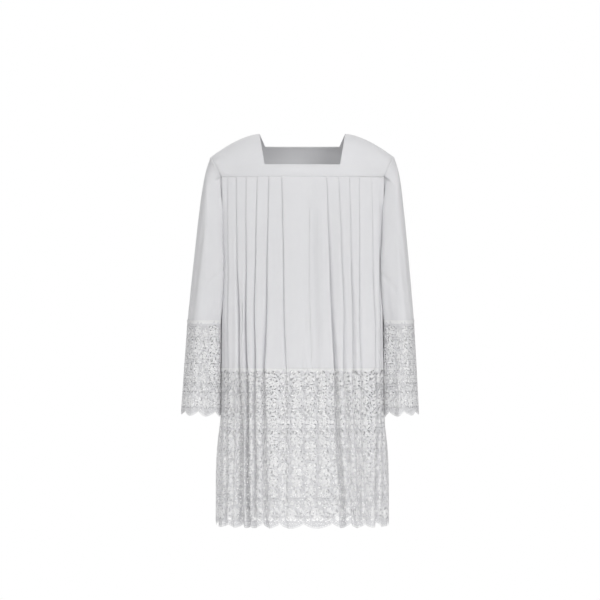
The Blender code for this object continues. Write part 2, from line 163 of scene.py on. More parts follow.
# The garment's outline at eight heights, as in the solids
Section = namedtuple("Section", "height half_width front back squareness release growth sink")
SECTIONS = [
    Section(-YOKE_DEPTH, 0.2220, 0.090, 0.098, 2.7, 0.00, 0.15, 0.0035),
    Section(-0.200, 0.2160, 0.114, 0.114, 2.9, 0.22, 0.32, 0.0050),
    Section(-0.333, 0.2130, 0.128, 0.124, 3.1, 0.48, 0.48, 0.0050),
    Section(-0.450, 0.2130, 0.134, 0.130, 3.2, 0.66, 0.60, 0.0045),
    Section(-0.610, 0.2140, 0.144, 0.140, 3.2, 0.82, 0.72, 0.0040),
    Section(-0.727, 0.2155, 0.151, 0.147, 3.1, 0.93, 0.83, 0.0040),
    Section(-0.810, 0.2230, 0.156, 0.152, 3.0, 0.97, 0.90, 0.0020),
    Section(-1.014, 0.2265, 0.168, 0.165, 3.0, 1.00, 1.00, 0.0010),
]

# The folds, in millimetres: distances from the centre at four heights, the width and
# depth of the open fold at the hem, and how deep the panel beside it lies there
Pleat = namedtuple("Pleat", "name top middle seam hem width depth panel_sink")
PLEATS = {
    ("front", "right"): [
        Pleat("r1", 52, 47, 44, 43, 9, 7, 0),
        Pleat("r2", 85, 93, 98, 91, 9, 20, 0),
        Pleat("r3", 115, 123, 123, 121, 8, 16, 0),
        Pleat("r4", 144, 146, 144, 140, 9, 30, 0),
        Pleat("r5", 170, 168, 166, 167, 10, 32, 20),
        Pleat("r6", 192, 192, 194, 198, 10, 12, 0),
        Pleat("r7", 207, 207, 209, 219, 10, 12, 0),
    ],
    ("front", "left"): [
        Pleat("crease", 28, 30, 36, 40, 19, 5, 0),
        Pleat("l1", 61, 76, 84, 103, 11, 22, 0),
        Pleat("l2", 92, 106, 109, 131, 8, 9, 0),
        Pleat("l3", 120, 129, 132, 149, 8, 10, 0),
        Pleat("l4", 146, 148, 152, 169, 9, 10, 0),
        Pleat("l5", 178, 186, 192, 192, 10, 12, 0),
        Pleat("l6", 199, 201, 204, 210, 9, 8, 0),
        Pleat("l7", 211, 208, 210, 220, 9, 12, 0),
    ],
    ("back", "right"): [
        Pleat("b1", 57, 62, 66, 74, 14, 18, 0),
        Pleat("b2", 88, 96, 102, 110, 10, 22, 0),
        Pleat("b3", 119, 126, 132, 138, 11, 14, 0),
        Pleat("b4", 148, 154, 160, 166, 10, 24, 0),
        Pleat("b5", 177, 184, 188, 190, 10, 14, 6),
        Pleat("b6", 197, 199, 202, 208, 10, 12, 0),
        Pleat("b7", 210, 208, 210, 220, 9, 12, 0),
    ],
}
PLEATS["back", "left"] = PLEATS["back", "right"]
PLEAT_HEIGHTS = [-YOKE_DEPTH, -0.433, -0.610, -1.014]

# Rings of a sleeve and of its cuff: outer and inner line from the front, reach to the
# front and back, and how far it fills the hollow beside the body
Ring = namedtuple("Ring", "outer_x outer_z inner_x inner_z front back fill")
SLEEVE_RINGS = [
    Ring(0.2495, -0.095, 0.2110, -0.346, 0.074, 0.078, 0.004),
    Ring(0.2600, -0.147, 0.2125, -0.364, 0.086, 0.090, 0.007),
    Ring(0.2700, -0.225, 0.2135, -0.390, 0.094, 0.098, 0.007),
    Ring(0.2780, -0.303, 0.2150, -0.420, 0.099, 0.104, 0.006),
    Ring(0.2870, -0.394, 0.2165, -0.457, 0.102, 0.110, 0.003),
    Ring(0.2955, -0.487, 0.2185, -0.487, 0.104, 0.114, 0.0),
]
CUFF_RINGS = [
    Ring(0.2958, -0.4873, 0.2185, -0.4873, 0.104, 0.114, 0.0),
    Ring(0.3030, -0.607, 0.2200, -0.609, 0.106, 0.117, 0.0),
    Ring(0.3100, -0.727, 0.2215, -0.733, 0.109, 0.120, 0.0),
]

# The power of the rings' outline, the mean radius by which a crease's width is laid
# round a sleeve, and the rows and columns of points
SLEEVE_SQUARENESS = 2.3
SLEEVE_RADIUS = 0.085
SLEEVE_ROWS = 96
HALF_SLEEVE_COLUMNS = 90
CUFF_ROWS = 60
CUFF_COLUMNS = 160

# The armhole seam: how far the sleeve starts beside it, and how far its seam allowance
# lies inwards and outside the armhole. It has two parts, each read at so many points,
# and the lower one starts a little below the yoke seam.
SLEEVE_SEAM_OFFSET = 1.3 * MM
ALLOWANCE_IN = 0.6 * MM
ALLOWANCE_OUT = 0.9 * MM
ARMHOLE_POINTS = 60
ARMHOLE_START = 2 * MM

# The cuffs' lobes: their number, how softly they start and their depth at the rings
LOBE_COUNT = 5
LOBE_SOFTNESS = 0.4 * MM
LOBE_DEPTHS = np.array([0, 0.5, 1])[:, None] * 5 * MM

# How far a sleeve's outer line swings out, and the heights where that starts and is full
Swing = namedtuple("Swing", "amount start full")
SWINGS = {"right": Swing(0.0055, -0.200, -0.727), "left": Swing(-0.0068, -0.060, -0.180)}

# The cloth of a sleeve and its cuff fills the hollow beside the body's corner: how far
# it is pushed, the shares of that inwards and away from the middle plane, the distance
# from the centre where that starts and the width over which it grows, its top and the
# height that it takes to begin, the distance from the middle plane at which it is
# full, and how far it stays from the body
HOLLOW_PUSH = 19 * MM
HOLLOW_INWARD = 0.8
HOLLOW_FORWARD = 0.35
HOLLOW_FROM = 0.243
HOLLOW_WIDTH = 0.020
HOLLOW_TOP = -0.105
HOLLOW_EASE = 0.110
HOLLOW_MIDDLE = 0.040
HOLLOW_CLEARANCE = 2.2 * MM

# The fullness of the body's corners, in front and behind: how far they come out, the
# distance from the centre where they are fullest and how wide they are there, the
# heights between which the fullness comes in and goes out, the distance from the
# middle plane at which it is full, and where the corner is taken to be
FULLNESS = 22 * MM
FULL_AT = 0.236
FULL_WIDTH = 0.036
FULL_IN = (-0.020, -0.110)
FULL_OUT = (-0.430, -0.600)
FULL_MIDDLE = 0.045
CORNER = 0.203

# Soft troughs pressed into the sleeves: angle round the sleeve from its outer line,
# positive to the front, where each starts and ends, its width and its depth. It fades
# in and out over a share of its length, within two more shares of it.
Crease = namedtuple("Crease", "start_angle start_z end_angle end_z width_mm depth_mm")
CREASE_FADE = 0.35
SLEEVE_CREASE_SPAN = (0, 1.25)
BODY_CREASE_SPAN = (-0.1, 1.1)
SLEEVE_CREASES = {
    "right": [
        Crease(62, -0.200, 48, -0.470, 13, 2.6),
        Crease(104, -0.260, 118, -0.480, 12, 2.4),
        Crease(30, -0.330, 22, -0.480, 10, 1.8),
        Crease(140, -0.330, 96, -0.395, 9, 1.9),
        Crease(-58, -0.210, -46, -0.470, 13, 2.4),
        Crease(-110, -0.280, -122, -0.480, 12, 2.2),
    ],
    "left": [
        Crease(70, -0.190, 60, -0.470, 13, 2.4),
        Crease(36, -0.280, 30, -0.480, 10, 1.8),
        Crease(112, -0.300, 124, -0.480, 12, 2.2),
        Crease(134, -0.345, 100, -0.410, 9, 1.7),
        Crease(-62, -0.220, -52, -0.470, 13, 2.4),
        Crease(-104, -0.270, -118, -0.480, 12, 2.2),
    ],
}

# The same pressed into the body, in millimetres from the centre and down from the
# shoulders. A negative depth is a ridge.
Line = namedtuple("Line", "start_mm start_z_mm end_mm end_z_mm width_mm depth_mm")
BODY_CREASES = {
    "front": [
        Line(19, -150, 25, -600, 22, 8.0),
        Line(48, -160, 54, -600, 12, -2.0),
        Line(-64, -170, -74, -420, 8, 1.4),
        Line(72, -180, 86, -500, 9, 1.6),
        Line(-176, -350, -150, -520, 9, 1.8),
        Line(172, -345, 160, -560, 9, 1.6),
        Line(-106, -260, -100, -590, 9, 1.5),
        Line(112, -300, 124, -600, 8, 1.4),
    ],
    "back": [
        Line(0, -150, 6, -590, 12, 1.8),
        Line(-74, -170, -84, -520, 9, 1.5),
        Line(74, -190, 86, -560, 9, 1.5),
        Line(-190, -300, -124, -230, 10, 2.0),
        Line(188, -305, 120, -235, 10, 2.0),
        Line(-140, -330, -132, -590, 9, 1.6),
        Line(140, -320, 132, -580, 9, 1.6),
    ],
}

# The lace, in millimetres of one repeat: x runs along the edge, y up from its lowest
# point. The border flower's five gaps are the solid's own: (from, to, width), widest at
# a share of their length. A straight slit, a bowed one and an eyelet have so many
# points on a side or in all.
REPEAT_MM = 66.0
SCALLOP_MM = 13.0
SCALLOP_POWER = 0.75
BORDER_FLOWER_MM = (33.0, 36.0)
BORDER_GAP_MM = (7.5, 17.0, 6.0)
BORDER_FLOWER_SIZE_MM = 15.0
GAP_WIDEST = 0.62
SLIT_POINTS = 4
BOW_POINTS = 5
EYELET_POINTS = 6
UP = 90

# A flower, in shares of its size: its eye and its heart, the gaps between its petals
# and the vein of each as (from, to, width), the middle and the disc of a petal, and
# the arc outside it as (radius, reach in degrees, width)
PETALS = 5
EYE = 0.12
HEART = 0.34
PETAL_GAP = (0.34, 1.02, 0.34)
PETAL_VEIN = (0.44, 0.82, 0.16)
PETAL_AT = 0.72
PETAL = 0.37
PETAL_ARC = (0.48, 54, 0.22)

# A leaf: its vein as shares of its length and a width, the slits along its outline with
# how far outside it they lie, the shares of its length between which they run, the
# power of their curve and their width, and its discs as shares of length and width
LEAF_VEIN = (0.22, 0.80)
LEAF_VEIN_MM = 2.0
LEAF_OUTSIDE_MM = 1.6
LEAF_REACH = (0.06, 0.94)
LEAF_POWER = 0.8
LEAF_SLIT_MM = 3.6
LEAF_DISCS = ((0.2, 0.35), (0.4, 0.5), (0.62, 0.5), (0.82, 0.33))

# Along the scallops: how many eyelets and slits, their height over the edge, and the
# eyelets' radius or the slits' half length and width
EDGE_EYELETS = 12
EDGE_EYELET_MM = (4.4, 1.1)
EDGE_SLITS = 9
EDGE_SLIT_MM = (9.6, 2.4, 1.3)

# Leaves that fan out from the cusps: angle, height and length, how far in they start at
# the left and the right, and their width. Leaves in an arch over the flower: the angle
# of each round the flower, the arch's radius, how they lean, and length and width.
CUSP_LEAVES = ((2, 26, 11), (38, 31, 14), (74, 37, 17))
CUSP_LEFT_MM = 4.6
CUSP_RIGHT_MM = 2.4
CUSP_LEAF_MM = 5.6
ARCH_ANGLES = (26, 58, 90, 122, 154)
ARCH_MM = 24
ARCH_LEAN = 52
ARCH_LEAF_MM = (14.5, 5.8)

# Columns of flowers: share of the repeat, height of the first and the step. Even and
# odd ones are shifted apart, odd ones are larger, each is turned on from the last, and
# they go on a little over the top. Leaves are (down, spread, length), with a lean, a
# distance from the column and a width.
FIELD_COLUMNS = ((0.27, 96.0, 57.0), (0.77, 119.0, 50.0))
FIELD_SHIFT_MM = (-0.8, 1.2)
FIELD_FLOWER_MM = 12.6
FIELD_ODD_MM = 0.9
FIELD_TURN = 24
FIELD_OVER_MM = 14
FIELD_LEAVES = ((17.5, 30, 15.0), (28.0, 56, 13.0))
FIELD_LEAN = 9
FIELD_ASIDE_MM = 1.6
FIELD_LEAF_MM = 6.4

# The net: holes a repeat, rows spaced as in a honeycomb, the holes' radius and turn,
# how far they wander and the radians a column and a row by which they do so across
# and up, the least space to the edge, to a motif's opening, to a dense part and to the
# join of two repeats, and the least room for a hole. Holes shrink towards the heading
# and the edge: size and growth.
NET_COUNT = 10
NET_MM = REPEAT_MM / NET_COUNT
NET_ROW_MM = NET_MM * 0.866
NET_HOLES_MM = {"front": 2.3, "back": 1.4}
NET_TURN = 30
NET_WANDER_MM = 0.6
WANDER_ACROSS = (12.9, 78.2)
WANDER_UP = (39.3, 11.1)
NET_EDGE_MM = 5
NET_SPACE_MM = 1.0
NET_DENSE_SPACE_MM = 0.3
JOIN_SPACE_MM = 0.6
LEAST_ROOM_MM = 1.1
HEADING_HOLE = (0.5, 0.13)
EDGE_HOLE = (0.9, 0.045)

# The space between two motifs and under the heading, and the stitched parts: bands
# along the scallops and at the heading, and a margin round every dense part
MOTIF_SPACE_MM = 0.9
MOTIF_TOP_MM = 5
EDGE_BAND_MM = 3.3
HEADING_MM = 7.0
DENSE_MARGIN_MM = 0.7

# The join of two repeats winds until a little under the top, and points a step apart
# on it keep openings off it
JOIN_END_MM = 2
FENCE_STEP_MM = 1.0

# Points along the edge and the top of a repeat, the triangulation's kind of output,
# which is triangles inside the outlines, and its tolerance, the grid on which repeats
# are welded, how near a point on their join lies to it, and the slow wave up the lace
EDGE_POINTS = 33
TOP_POINTS = 15
TRIANGLES_INSIDE = 1
TOLERANCE_MM = 1e-6
WELDS_A_MM = 200
JOINED_MM = 0.02
WAVE_MM = 2.0
WAVE_LENGTH_MM = 84.0

# The heading overlaps the plain cloth and is lifted off it. On the body its lift starts
# below the seam and grows over a height, and on a cuff over shares of its depth.
HEADING_OVERLAP = 3.5 * MM
HEADING_LIFT = 1.0 * MM
HEADING_RISE_FROM = 28 * MM
HEADING_RISE_OVER = 26 * MM
CUFF_HEADING_FROM = 0.975
CUFF_HEADING_OVER = 0.02

# Sewing: two rows over the yoke seam, by their depth below the shoulder line, one row
# beside the neckline, by its distance from the front edge and its share and depth at
# the side, and one on each heading. A stitch has four rings: share of its length and of
# its thickness. Its middle line is over the cloth by a share of its radius at its ends
# and by so much more between them, and it is a little flattened.
YOKE_ROWS = (0.0885, 0.1030)
NECK_ROW = 3.5 * MM
NECK_SIDE_SHARE = 0.027
NECK_ROW_TOP = 0.004
ROW_POINTS = 60
HEADING_ROW = 1.2 * MM
HEADING_ROW_LIFT = 1.3 * MM
STITCH_RINGS = ((0.0, 0.0), (0.22, 1.0), (0.78, 1.0), (1.0, 0.0))
STITCH_REST = 0.3
STITCH_RISE = 0.9
STITCH_FLATNESS = 0.8
STITCH_POINTS = 10
STITCH_FACES = [
    *([0, 1 + (k + 1) % 4, 1 + k] for k in range(4)),
    *([1 + k, 1 + (k + 1) % 4, 5 + (k + 1) % 4, 5 + k] for k in range(4)),
    *([5 + k, 5 + (k + 1) % 4, 9] for k in range(4)),
]

# The camera stands level in front. The view is 1.56 m wide at the garment.
CAMERA_DISTANCE = 8.0
VIEW_WIDTH = 1.56
CAMERA_AIM = (-0.006, -0.4316)
SENSOR_MM = 36.0
CAMERA_SEES = (0.5, 60)

# Soft lights: name, place, diameter and power, and the point that they aim at
LIGHTS = [
    ("key", (2.7, -4.8, 1.1), 2.6, 88),
    ("fill", (-1.7, -5.3, 0.3), 2.6, 54),
    ("top", (0.2, -2.2, 3.6), 2.8, 46),
    ("right side", (4.2, -0.8, 0.2), 2.0, 16),
    ("left side", (-4.2, -0.8, 0.2), 2.0, 21),
    ("rear", (-1.2, 4.9, 2.2), 2.6, 105),
]
LIGHTS_AIM = Vector((0, 0, -0.5))

# The floor's rings, its spokes and the share of its radius that its middle disc has
FLOOR_RINGS = 24
FLOOR_SPOKES = 96
FLOOR_MIDDLE = 0.02


# Curves through the tables


def cubic(t, first, last, leaving, arriving):
    """A cubic curve at t from 0 to 1, by its two ends and its slopes there."""
    return (
        (2 * t**3 - 3 * t**2 + 1) * first
        + (t**3 - 2 * t**2 + t) * leaving
        + (3 * t**2 - 2 * t**3) * last
        + (t**3 - t**2) * arriving
    )


def hermite(at, knots, values):
    """A cubic curve through (knots, values) whose slope at a knot is the finite
    difference of its neighbours, read at every place of an array."""
    knots, values = np.asarray(knots, float), np.asarray(values, float)
    slopes = np.gradient(values, knots)
    at = np.clip(at, knots[0], knots[-1])
    i = np.clip(np.searchsorted(knots, at, side="right") - 1, 0, len(knots) - 2)
    span = knots[i + 1] - knots[i]
    ends = values[i], values[i + 1], span * slopes[i], span * slopes[i + 1]
    return cubic((at - knots[i]) / span, *ends)


def column(name, heights):
    """One column of SECTIONS at each height."""
    knots = [-s.height for s in SECTIONS]
    return hermite(-np.asarray(heights), knots, [getattr(s, name) for s in SECTIONS])


def smooth_step(x):
    """0 below 0, 1 above 1, and three x squared less two x cubed in between."""
    x = np.clip(x, 0, 1)
    return x * x * (3 - 2 * x)


def rows_interp(at, knots, values):
    """np.interp for each row of three arrays."""
    return np.stack([np.interp(a, k, v) for a, k, v in zip(at, knots, values)])


def read_path(at, along, points):
    """Points of a path read at places, on straight lines between them."""
    return np.stack([np.interp(at, along, points[:, k]) for k in range(3)], axis=1)


def running(steps):
    """Steps added up, from 0."""
    return np.concatenate([[0], np.cumsum(steps)])


def steps_of(points, axis):
    """The distances between neighbouring points along one axis of an array of them."""
    return np.linalg.norm(np.diff(points, axis=axis), axis=-1)


def unit(vectors):
    """Vectors divided by their lengths, and left as they are where that is nothing."""
    return vectors / np.maximum(np.linalg.norm(vectors, axis=-1, keepdims=True), 1e-12)


def grid_normals(points):
    """Unit normals of a grid: the cross product of its two gradients."""
    return unit(np.cross(np.gradient(points, axis=1), np.gradient(points, axis=0)))


# The pleated body, worked out for every height at once


def outline(face, heights):
    """Quarter superellipses, one a row: x is the half width times a power of the sine,
    y the reach times a power of the cosine, and arc the length from the centre."""
    power = 2 / column("squareness", heights)[:, None]
    angle = np.linspace(0, math.pi / 2, OUTLINE_POINTS)[None]
    x = column("half_width", heights)[:, None] * np.sin(angle) ** power
    y = -column(face, heights)[:, None] * np.cos(angle) ** power
    steps = np.hypot(np.diff(x, axis=1), np.diff(y, axis=1))
    arc = np.concatenate([np.zeros((len(x), 1)), np.cumsum(steps, axis=1)], axis=1)
    return arc, x, y


def fold_distances(pleats, heights, sway):
    """How far each fold lies from the centre, with a slow sine sway below the chest, of
    its own length and phase for each fold."""
    knots = [-h for h in PLEAT_HEIGHTS]
    depth = -heights
    low = smooth_step((depth - SWAY_FROM) / SWAY_OVER)
    found = []
    for i, p in enumerate(pleats):
        x = hermite(depth, knots, [p.top, p.middle, p.seam, p.hem]) * MM
        phase = depth * SWAY_RATES[i % 3] + SWAY_PHASE * i
        found.append(x + sway * low * np.sin(phase))
    return np.stack(found, axis=1)


def half_rows(face, side, heights, sway):
    """The fold points of half a panel, for every height, from its centre outwards.

    Pressed, a pleat is its folded edge, the return under it and the next panel, all
    leaning by two layers over one panel. Open, it is a valley with two rims. The two
    forms are mixed by the section's release, and the soft crease is always open."""
    pleats = PLEATS[face, side]
    arcs, xs, ys = outline(face, heights)
    folds = rows_interp(fold_distances(pleats, heights, sway), xs, arcs)
    zero = np.zeros(len(heights))
    at = np.concatenate([zero[:, None], folds, arcs[:, -1:]], axis=1)
    corners = np.stack([rows_interp(at, arcs, xs), rows_interp(at, arcs, ys)], axis=2)
    corners[:, -1, 0] -= column("sink", heights)
    runs = np.diff(corners, axis=1)
    units = unit(runs)
    inward = np.stack([-units[..., 1], units[..., 0]], axis=2)

    def on_panel(i, arc, depth):
        share = ((arc - at[:, i]) / (at[:, i + 1] - at[:, i]))[:, None]
        return corners[:, i] + share * runs[:, i] + depth[:, None] * inward[:, i]

    def at_fold(i, along, depth):
        run = unit(units[:, i] + units[:, i + 1])
        turned = np.stack([-run[:, 1], run[:, 0]], axis=1)
        return corners[:, i + 1] + along[:, None] * run + depth[:, None] * turned

    release, growth = column("release", heights), column("growth", heights)
    free = smooth_step((-YOKE_DEPTH - heights) / PRESSED_HEIGHT)
    layer = LAYER * (PRESSED_SHARE + (1 - PRESSED_SHARE) * free)
    groove = GROOVE * free
    points, rim, rim_depth, last_sink = [on_panel(0, zero, zero)], zero, zero, zero
    for i, pleat in enumerate(pleats):
        fold = folds[:, i]
        sink = pleat.panel_sink * MM * growth**SINK_POWER
        if pleat.name == "crease":
            width = pleat.width * MM * (CREASE_WIDTH + (1 - CREASE_WIDTH) * growth)
            depth = pleat.depth * MM * growth**CREASE_POWER
            share, least = zero + 1, 0
        else:
            width, depth = pleat.width * MM * growth, pleat.depth * MM * growth
            share, least = release, LEAST_DEPTH
        lean = 2 * layer / (fold - rim + RIM)
        lap = np.minimum(UNDERLAP, UNDERLAP_SHARE * (fold - rim))
        floor = np.maximum(depth, sink + least) + groove * (1 - share)
        pressed = [
            on_panel(i, fold, zero),
            on_panel(i, fold, layer),
            on_panel(i, fold - lap, layer + lean * lap + groove / 2),
            on_panel(i, fold - lap, 2 * layer + lean * lap + groove),
            on_panel(i + 1, fold + RIM, 2 * layer - lean * RIM),
        ]
        opened = [
            at_fold(i, -width / 2 - RIM, sink),
            at_fold(i, -width / 2, sink + RIM_FOOT * (depth - sink)),
            at_fold(i, -width / 4, floor),
            at_fold(i, width / 4, floor),
            at_fold(i, width / 2 + RIM, zero),
        ]
        edge = fold - share * (width / 2 + RIM)
        flat_panel = pleat.panel_sink == 0 and not last_sink.any()
        crown = CROWN * growth * release if flat_panel else zero
        middle_depth = ((1 - share) * rim_depth + share * sink + last_sink) / 2
        for part in PANEL_POINTS if i else CENTRE_PANEL_POINTS:
            bulge = crown * math.sin(math.pi * part)
            points.append(on_panel(i, rim + (edge - rim) * part, middle_depth - bulge))
        mix = share[:, None]
        points += [(1 - mix) * p + mix * o for p, o in zip(pressed, opened)]
        rim = fold + (1 - share) * RIM + share * (width / 2 + RIM)
        rim_depth, last_sink = (1 - share) * (2 * layer - lean * RIM), sink
    side_edge = armhole_arc(heights, arcs[:, -1], rim)
    points.append(on_panel(len(pleats), (rim + side_edge) / 2, rim_depth / 3))
    points.append(on_panel(len(pleats), side_edge, zero))
    return np.stack(points, axis=1) * [SIGN[side], -OUTWARD[face]]


def armhole_arc(heights, end, last_rim):
    """Arc length of a panel's side edge: a quarter ellipse above the underarm, and the
    side seam below it."""
    drop = np.clip((-YOKE_DEPTH - heights) / (-YOKE_DEPTH - UNDERARM), 0, 1)
    share = 1 - np.sqrt(1 - drop**2)
    top = last_rim + ARMHOLE_MARGIN
    return top + share * (end - SEAM_GAP / 2 - top)


def panel_rows(face, heights, sway=0.0):
    """The fold points of a whole panel, a row for each height, from -X to +X."""
    right, left = (half_rows(face, side, heights, sway) for side in SIGN)
    return np.concatenate([right[:, :0:-1], left], axis=1)


def flat_places(points):
    """Where the fold points lie on the flat cloth: mean lengths along the rows."""
    return running(steps_of(points, 1).mean(axis=0))


def rounded(points, flat, radius):
    """Each corner of a row turned into a quadratic curve that leaves and meets the row
    at most a radius away. Its flat place goes with each point, as a third number."""
    points = np.dstack([points, np.broadcast_to(flat, points.shape[:2])])
    before, here, after = points[:, :-2], points[:, 1:-1], points[:, 2:]

    def towards(other):
        distance = np.linalg.norm((other - here)[..., :2], axis=2)
        share = np.minimum(radius[:, None] / distance, CORNER_SHARE)
        return (here + share[..., None] * (other - here))[:, :, None]

    s = np.linspace(0, 1, CORNER_STEPS)[:, None]
    bent = 2 * s * (1 - s) * here[:, :, None]
    curve = (1 - s) ** 2 * towards(before) + bent + s**2 * towards(after)
    curve = curve.reshape(len(points), -1, 3)
    curve = np.concatenate([points[:, :1], curve, points[:, -1:]], axis=1)
    return curve[..., :2], curve[..., 2]


def flutter(x, z, amount):
    """Slow unevenness of hanging cloth: three sine waves across and down it, the last
    of which comes and goes on the way down."""
    share, across, down, phase = LAST_WAVE
    total = share * np.sin(across * x + down * z + phase) * np.sin(LAST_WAVE_DOWN * z)
    for share, across, down, phase in WAVES:
        total = total + share * np.sin(across * x + down * z + phase)
    return amount * total


def hang_rows(face, heights, flat, sway, amount):
    """A pleated panel as a grid of points, with the flat place of each. Corners are
    sharp where the pleats are pressed and soft where they have fallen open."""
    release = column("release", heights)
    radius = (PRESSED_RADIUS_MM + OPEN_RADIUS_MM * release**RADIUS_POWER) * MM
    curve, along = rounded(panel_rows(face, heights, sway), flat, radius)
    x = curve[..., 0]
    z = np.broadcast_to(heights[:, None], x.shape)
    out = unit(curve / [MEAN_HALF_WIDTH**2, MEAN_REACH**2])
    easing = smooth_step((YOKE_SEAM - z) / FLUTTER_EASE)
    easing = easing * smooth_step((FLUTTER_SIDE - np.abs(x)) / FLUTTER_SIDE_WIDTH)
    push = flutter(x, z, amount) * easing
    return fuller(np.dstack([curve + push[..., None] * out, z])), along


# Sleeves and cuffs


def ring_points(rings, angle, face, lobes):
    """Points of every ring at every angle: a superellipse between its outer and inner
    line, fuller beside the body, with sine lobes pressed inwards."""
    column_of = {n: np.array([getattr(r, n) for r in rings])[:, None] for n in Ring._fields}
    power = 2 / SLEEVE_SQUARENESS
    cosine, sine = np.cos(angle), np.abs(np.sin(angle))
    along = np.sign(cosine) * np.abs(cosine) ** power
    wave = lobes * np.sin(LOBE_COUNT * angle) * sine
    pressed = np.sqrt(wave**2 + LOBE_SOFTNESS**2) - LOBE_SOFTNESS
    y = sine**power * (column_of[face] - pressed)

    def between_lines(axis):
        outer, inner = column_of["outer_" + axis], column_of["inner_" + axis]
        return (outer + inner) / 2 + along * (outer - inner) / 2

    fill = column_of["fill"] * np.where(angle > math.pi / 2, np.sin(2 * angle) ** 2, 0)
    return np.stack([between_lines("x") - fill, y * OUTWARD[face], between_lines("z")], axis=2)


def swung(points, side):
    """Points of the +X sleeve with its outer line swung out, on their own side."""
    swing = SWINGS[side]
    x, z = points[..., 0], points[..., 2]
    inner, outer = CUFF_RINGS[-1].inner_x, CUFF_RINGS[-1].outer_x
    down = np.clip((z - swing.start) / (swing.full - swing.start), 0, 1)
    outwards = np.clip((x - inner) / (outer - inner), 0, 1)
    moved = points.copy()
    moved[..., 0] = SIGN[side] * (x + swing.amount * down * outwards)
    return moved


def between_rows(rows, count):
    """Rows of points carried on to count rows by a curve through each column, whose
    tangent at a row is half the step between its neighbours."""
    at = np.linspace(0, len(rows) - 1, count)
    i = np.minimum(at.astype(int), len(rows) - 2)
    tangents = np.gradient(rows, axis=0)
    return cubic((at - i)[:, None, None], rows[i], rows[i + 1], tangents[i], tangents[i + 1])


def fullness(x, z):
    """How far the cloth comes out at a distance from the centre: a bell curve that
    comes in below the shoulders and goes out above the lace."""
    bell = np.exp(-(((np.abs(x) - FULL_AT) / FULL_WIDTH) ** 2))
    comes_in = smooth_step((FULL_IN[0] - z) / (FULL_IN[0] - FULL_IN[1]))
    goes_out = smooth_step((z - FULL_OUT[1]) / (FULL_OUT[0] - FULL_OUT[1]))
    return FULLNESS * bell * comes_in * goes_out


def fuller(points):
    """Points moved away from the middle of the garment, front and back, so that the
    yoke runs smoothly into the sleeve and the body's corners are well filled."""
    x, y, z = points[..., 0], points[..., 1], points[..., 2]
    moved = points.copy()
    moved[..., 1] += np.sign(y) * fullness(x, z) * smooth_step(np.abs(y) / FULL_MIDDLE)
    return moved


def body_side(face, depth, heights):
    """How far out the body's outline reaches at a distance from its middle plane: a
    superellipse, solved for x."""
    power = column("squareness", heights)
    share = np.clip(depth / column(face, heights), 0, 1) ** power
    return column("half_width", heights) * (1 - share) ** (1 / power)


def in_the_hollow(points):
    """Points of the +X sleeve or cuff, those near the body pushed inwards and towards
    its corner, and stopped a little before it."""
    x, y, z = points[..., 0], points[..., 1], points[..., 2]
    near = smooth_step((HOLLOW_FROM - x) / HOLLOW_WIDTH)
    near = near * smooth_step(np.abs(y) / HOLLOW_MIDDLE)
    push = HOLLOW_PUSH * near * smooth_step((HOLLOW_TOP - z) / HOLLOW_EASE)
    depth = np.abs(y) + HOLLOW_FORWARD * push
    inside = np.maximum(depth - fullness(CORNER, z), 0)
    limits = np.where(y < 0, body_side("front", inside, z), body_side("back", inside, z))
    wanted = np.maximum(x - HOLLOW_INWARD * push, limits + HOLLOW_CLEARANCE)
    moved = points.copy()
    moved[..., 0] = np.where(push > 0, np.minimum(wanted, x), x)
    moved[..., 1] = np.sign(y) * depth
    return moved


def armhole(face, side, sway, count):
    """The armhole of a side, set over to +X, from the shoulder to the underarm in even
    steps: the yoke's end and then the panel's side edge."""
    yoke_end = yoke_points(face, np.ones(ARMHOLE_POINTS), np.linspace(0, 1, ARMHOLE_POINTS))
    heights = np.linspace(YOKE_SEAM - ARMHOLE_START, UNDERARM, ARMHOLE_POINTS)
    edge = half_rows(face, side, heights, sway)[:, -1] * [SIGN[side], 1]
    side_edge = np.concatenate([edge, heights[:, None]], axis=1)
    path = np.concatenate([yoke_end, fuller(side_edge)])
    along = running(steps_of(path, 0))
    return read_path(np.linspace(0, along[-1], count), along, path)


def trough(share, first, last, away):
    """A bell curve across a line, which fades in and out at two shares of its length."""
    comes_in = smooth_step((share - first) / CREASE_FADE)
    return comes_in * smooth_step((last - share) / CREASE_FADE) * np.exp(-(away**2))


def crease_sleeve(points, angle, creases):
    """A sleeve's grid with its creases pressed in, each a trough across a line that
    runs down the sleeve from one angle to another."""
    normal = grid_normals(points)
    middle = points.mean(axis=1, keepdims=True)
    outward = np.sign((normal * (points - middle)).sum(axis=2, keepdims=True))
    z = points[..., 2]
    depth = np.zeros(z.shape)
    for c in creases:
        share = (z - c.start_z) / (c.end_z - c.start_z)
        line = c.start_angle + np.clip(share, 0, 1) * (c.end_angle - c.start_angle)
        away = np.radians(angle[None] - line) * SLEEVE_RADIUS / (c.width_mm * MM)
        depth += c.depth_mm * MM * trough(share, *SLEEVE_CREASE_SPAN, away)
    return points - outward * normal * depth[..., None]


def crease_panel(points, normals, lines):
    """A panel's grid with its creases pressed in, each a trough across a straight line
    from (start, start_z) to (end, end_z), seen from the front."""
    x, z = points[..., 0], points[..., 2]
    depth = np.zeros(z.shape)
    for line in lines:
        run = np.array([line.end_mm - line.start_mm, line.end_z_mm - line.start_z_mm]) * MM
        length = np.hypot(*run)
        aside, down = x - line.start_mm * MM, z - line.start_z_mm * MM
        share = (aside * run[0] + down * run[1]) / length**2
        away = (aside * run[1] - down * run[0]) / length / (line.width_mm * MM)
        depth += line.depth_mm * MM * trough(share, *BODY_CREASE_SPAN, away)
    return points - normals * depth[..., None]


# The yoke


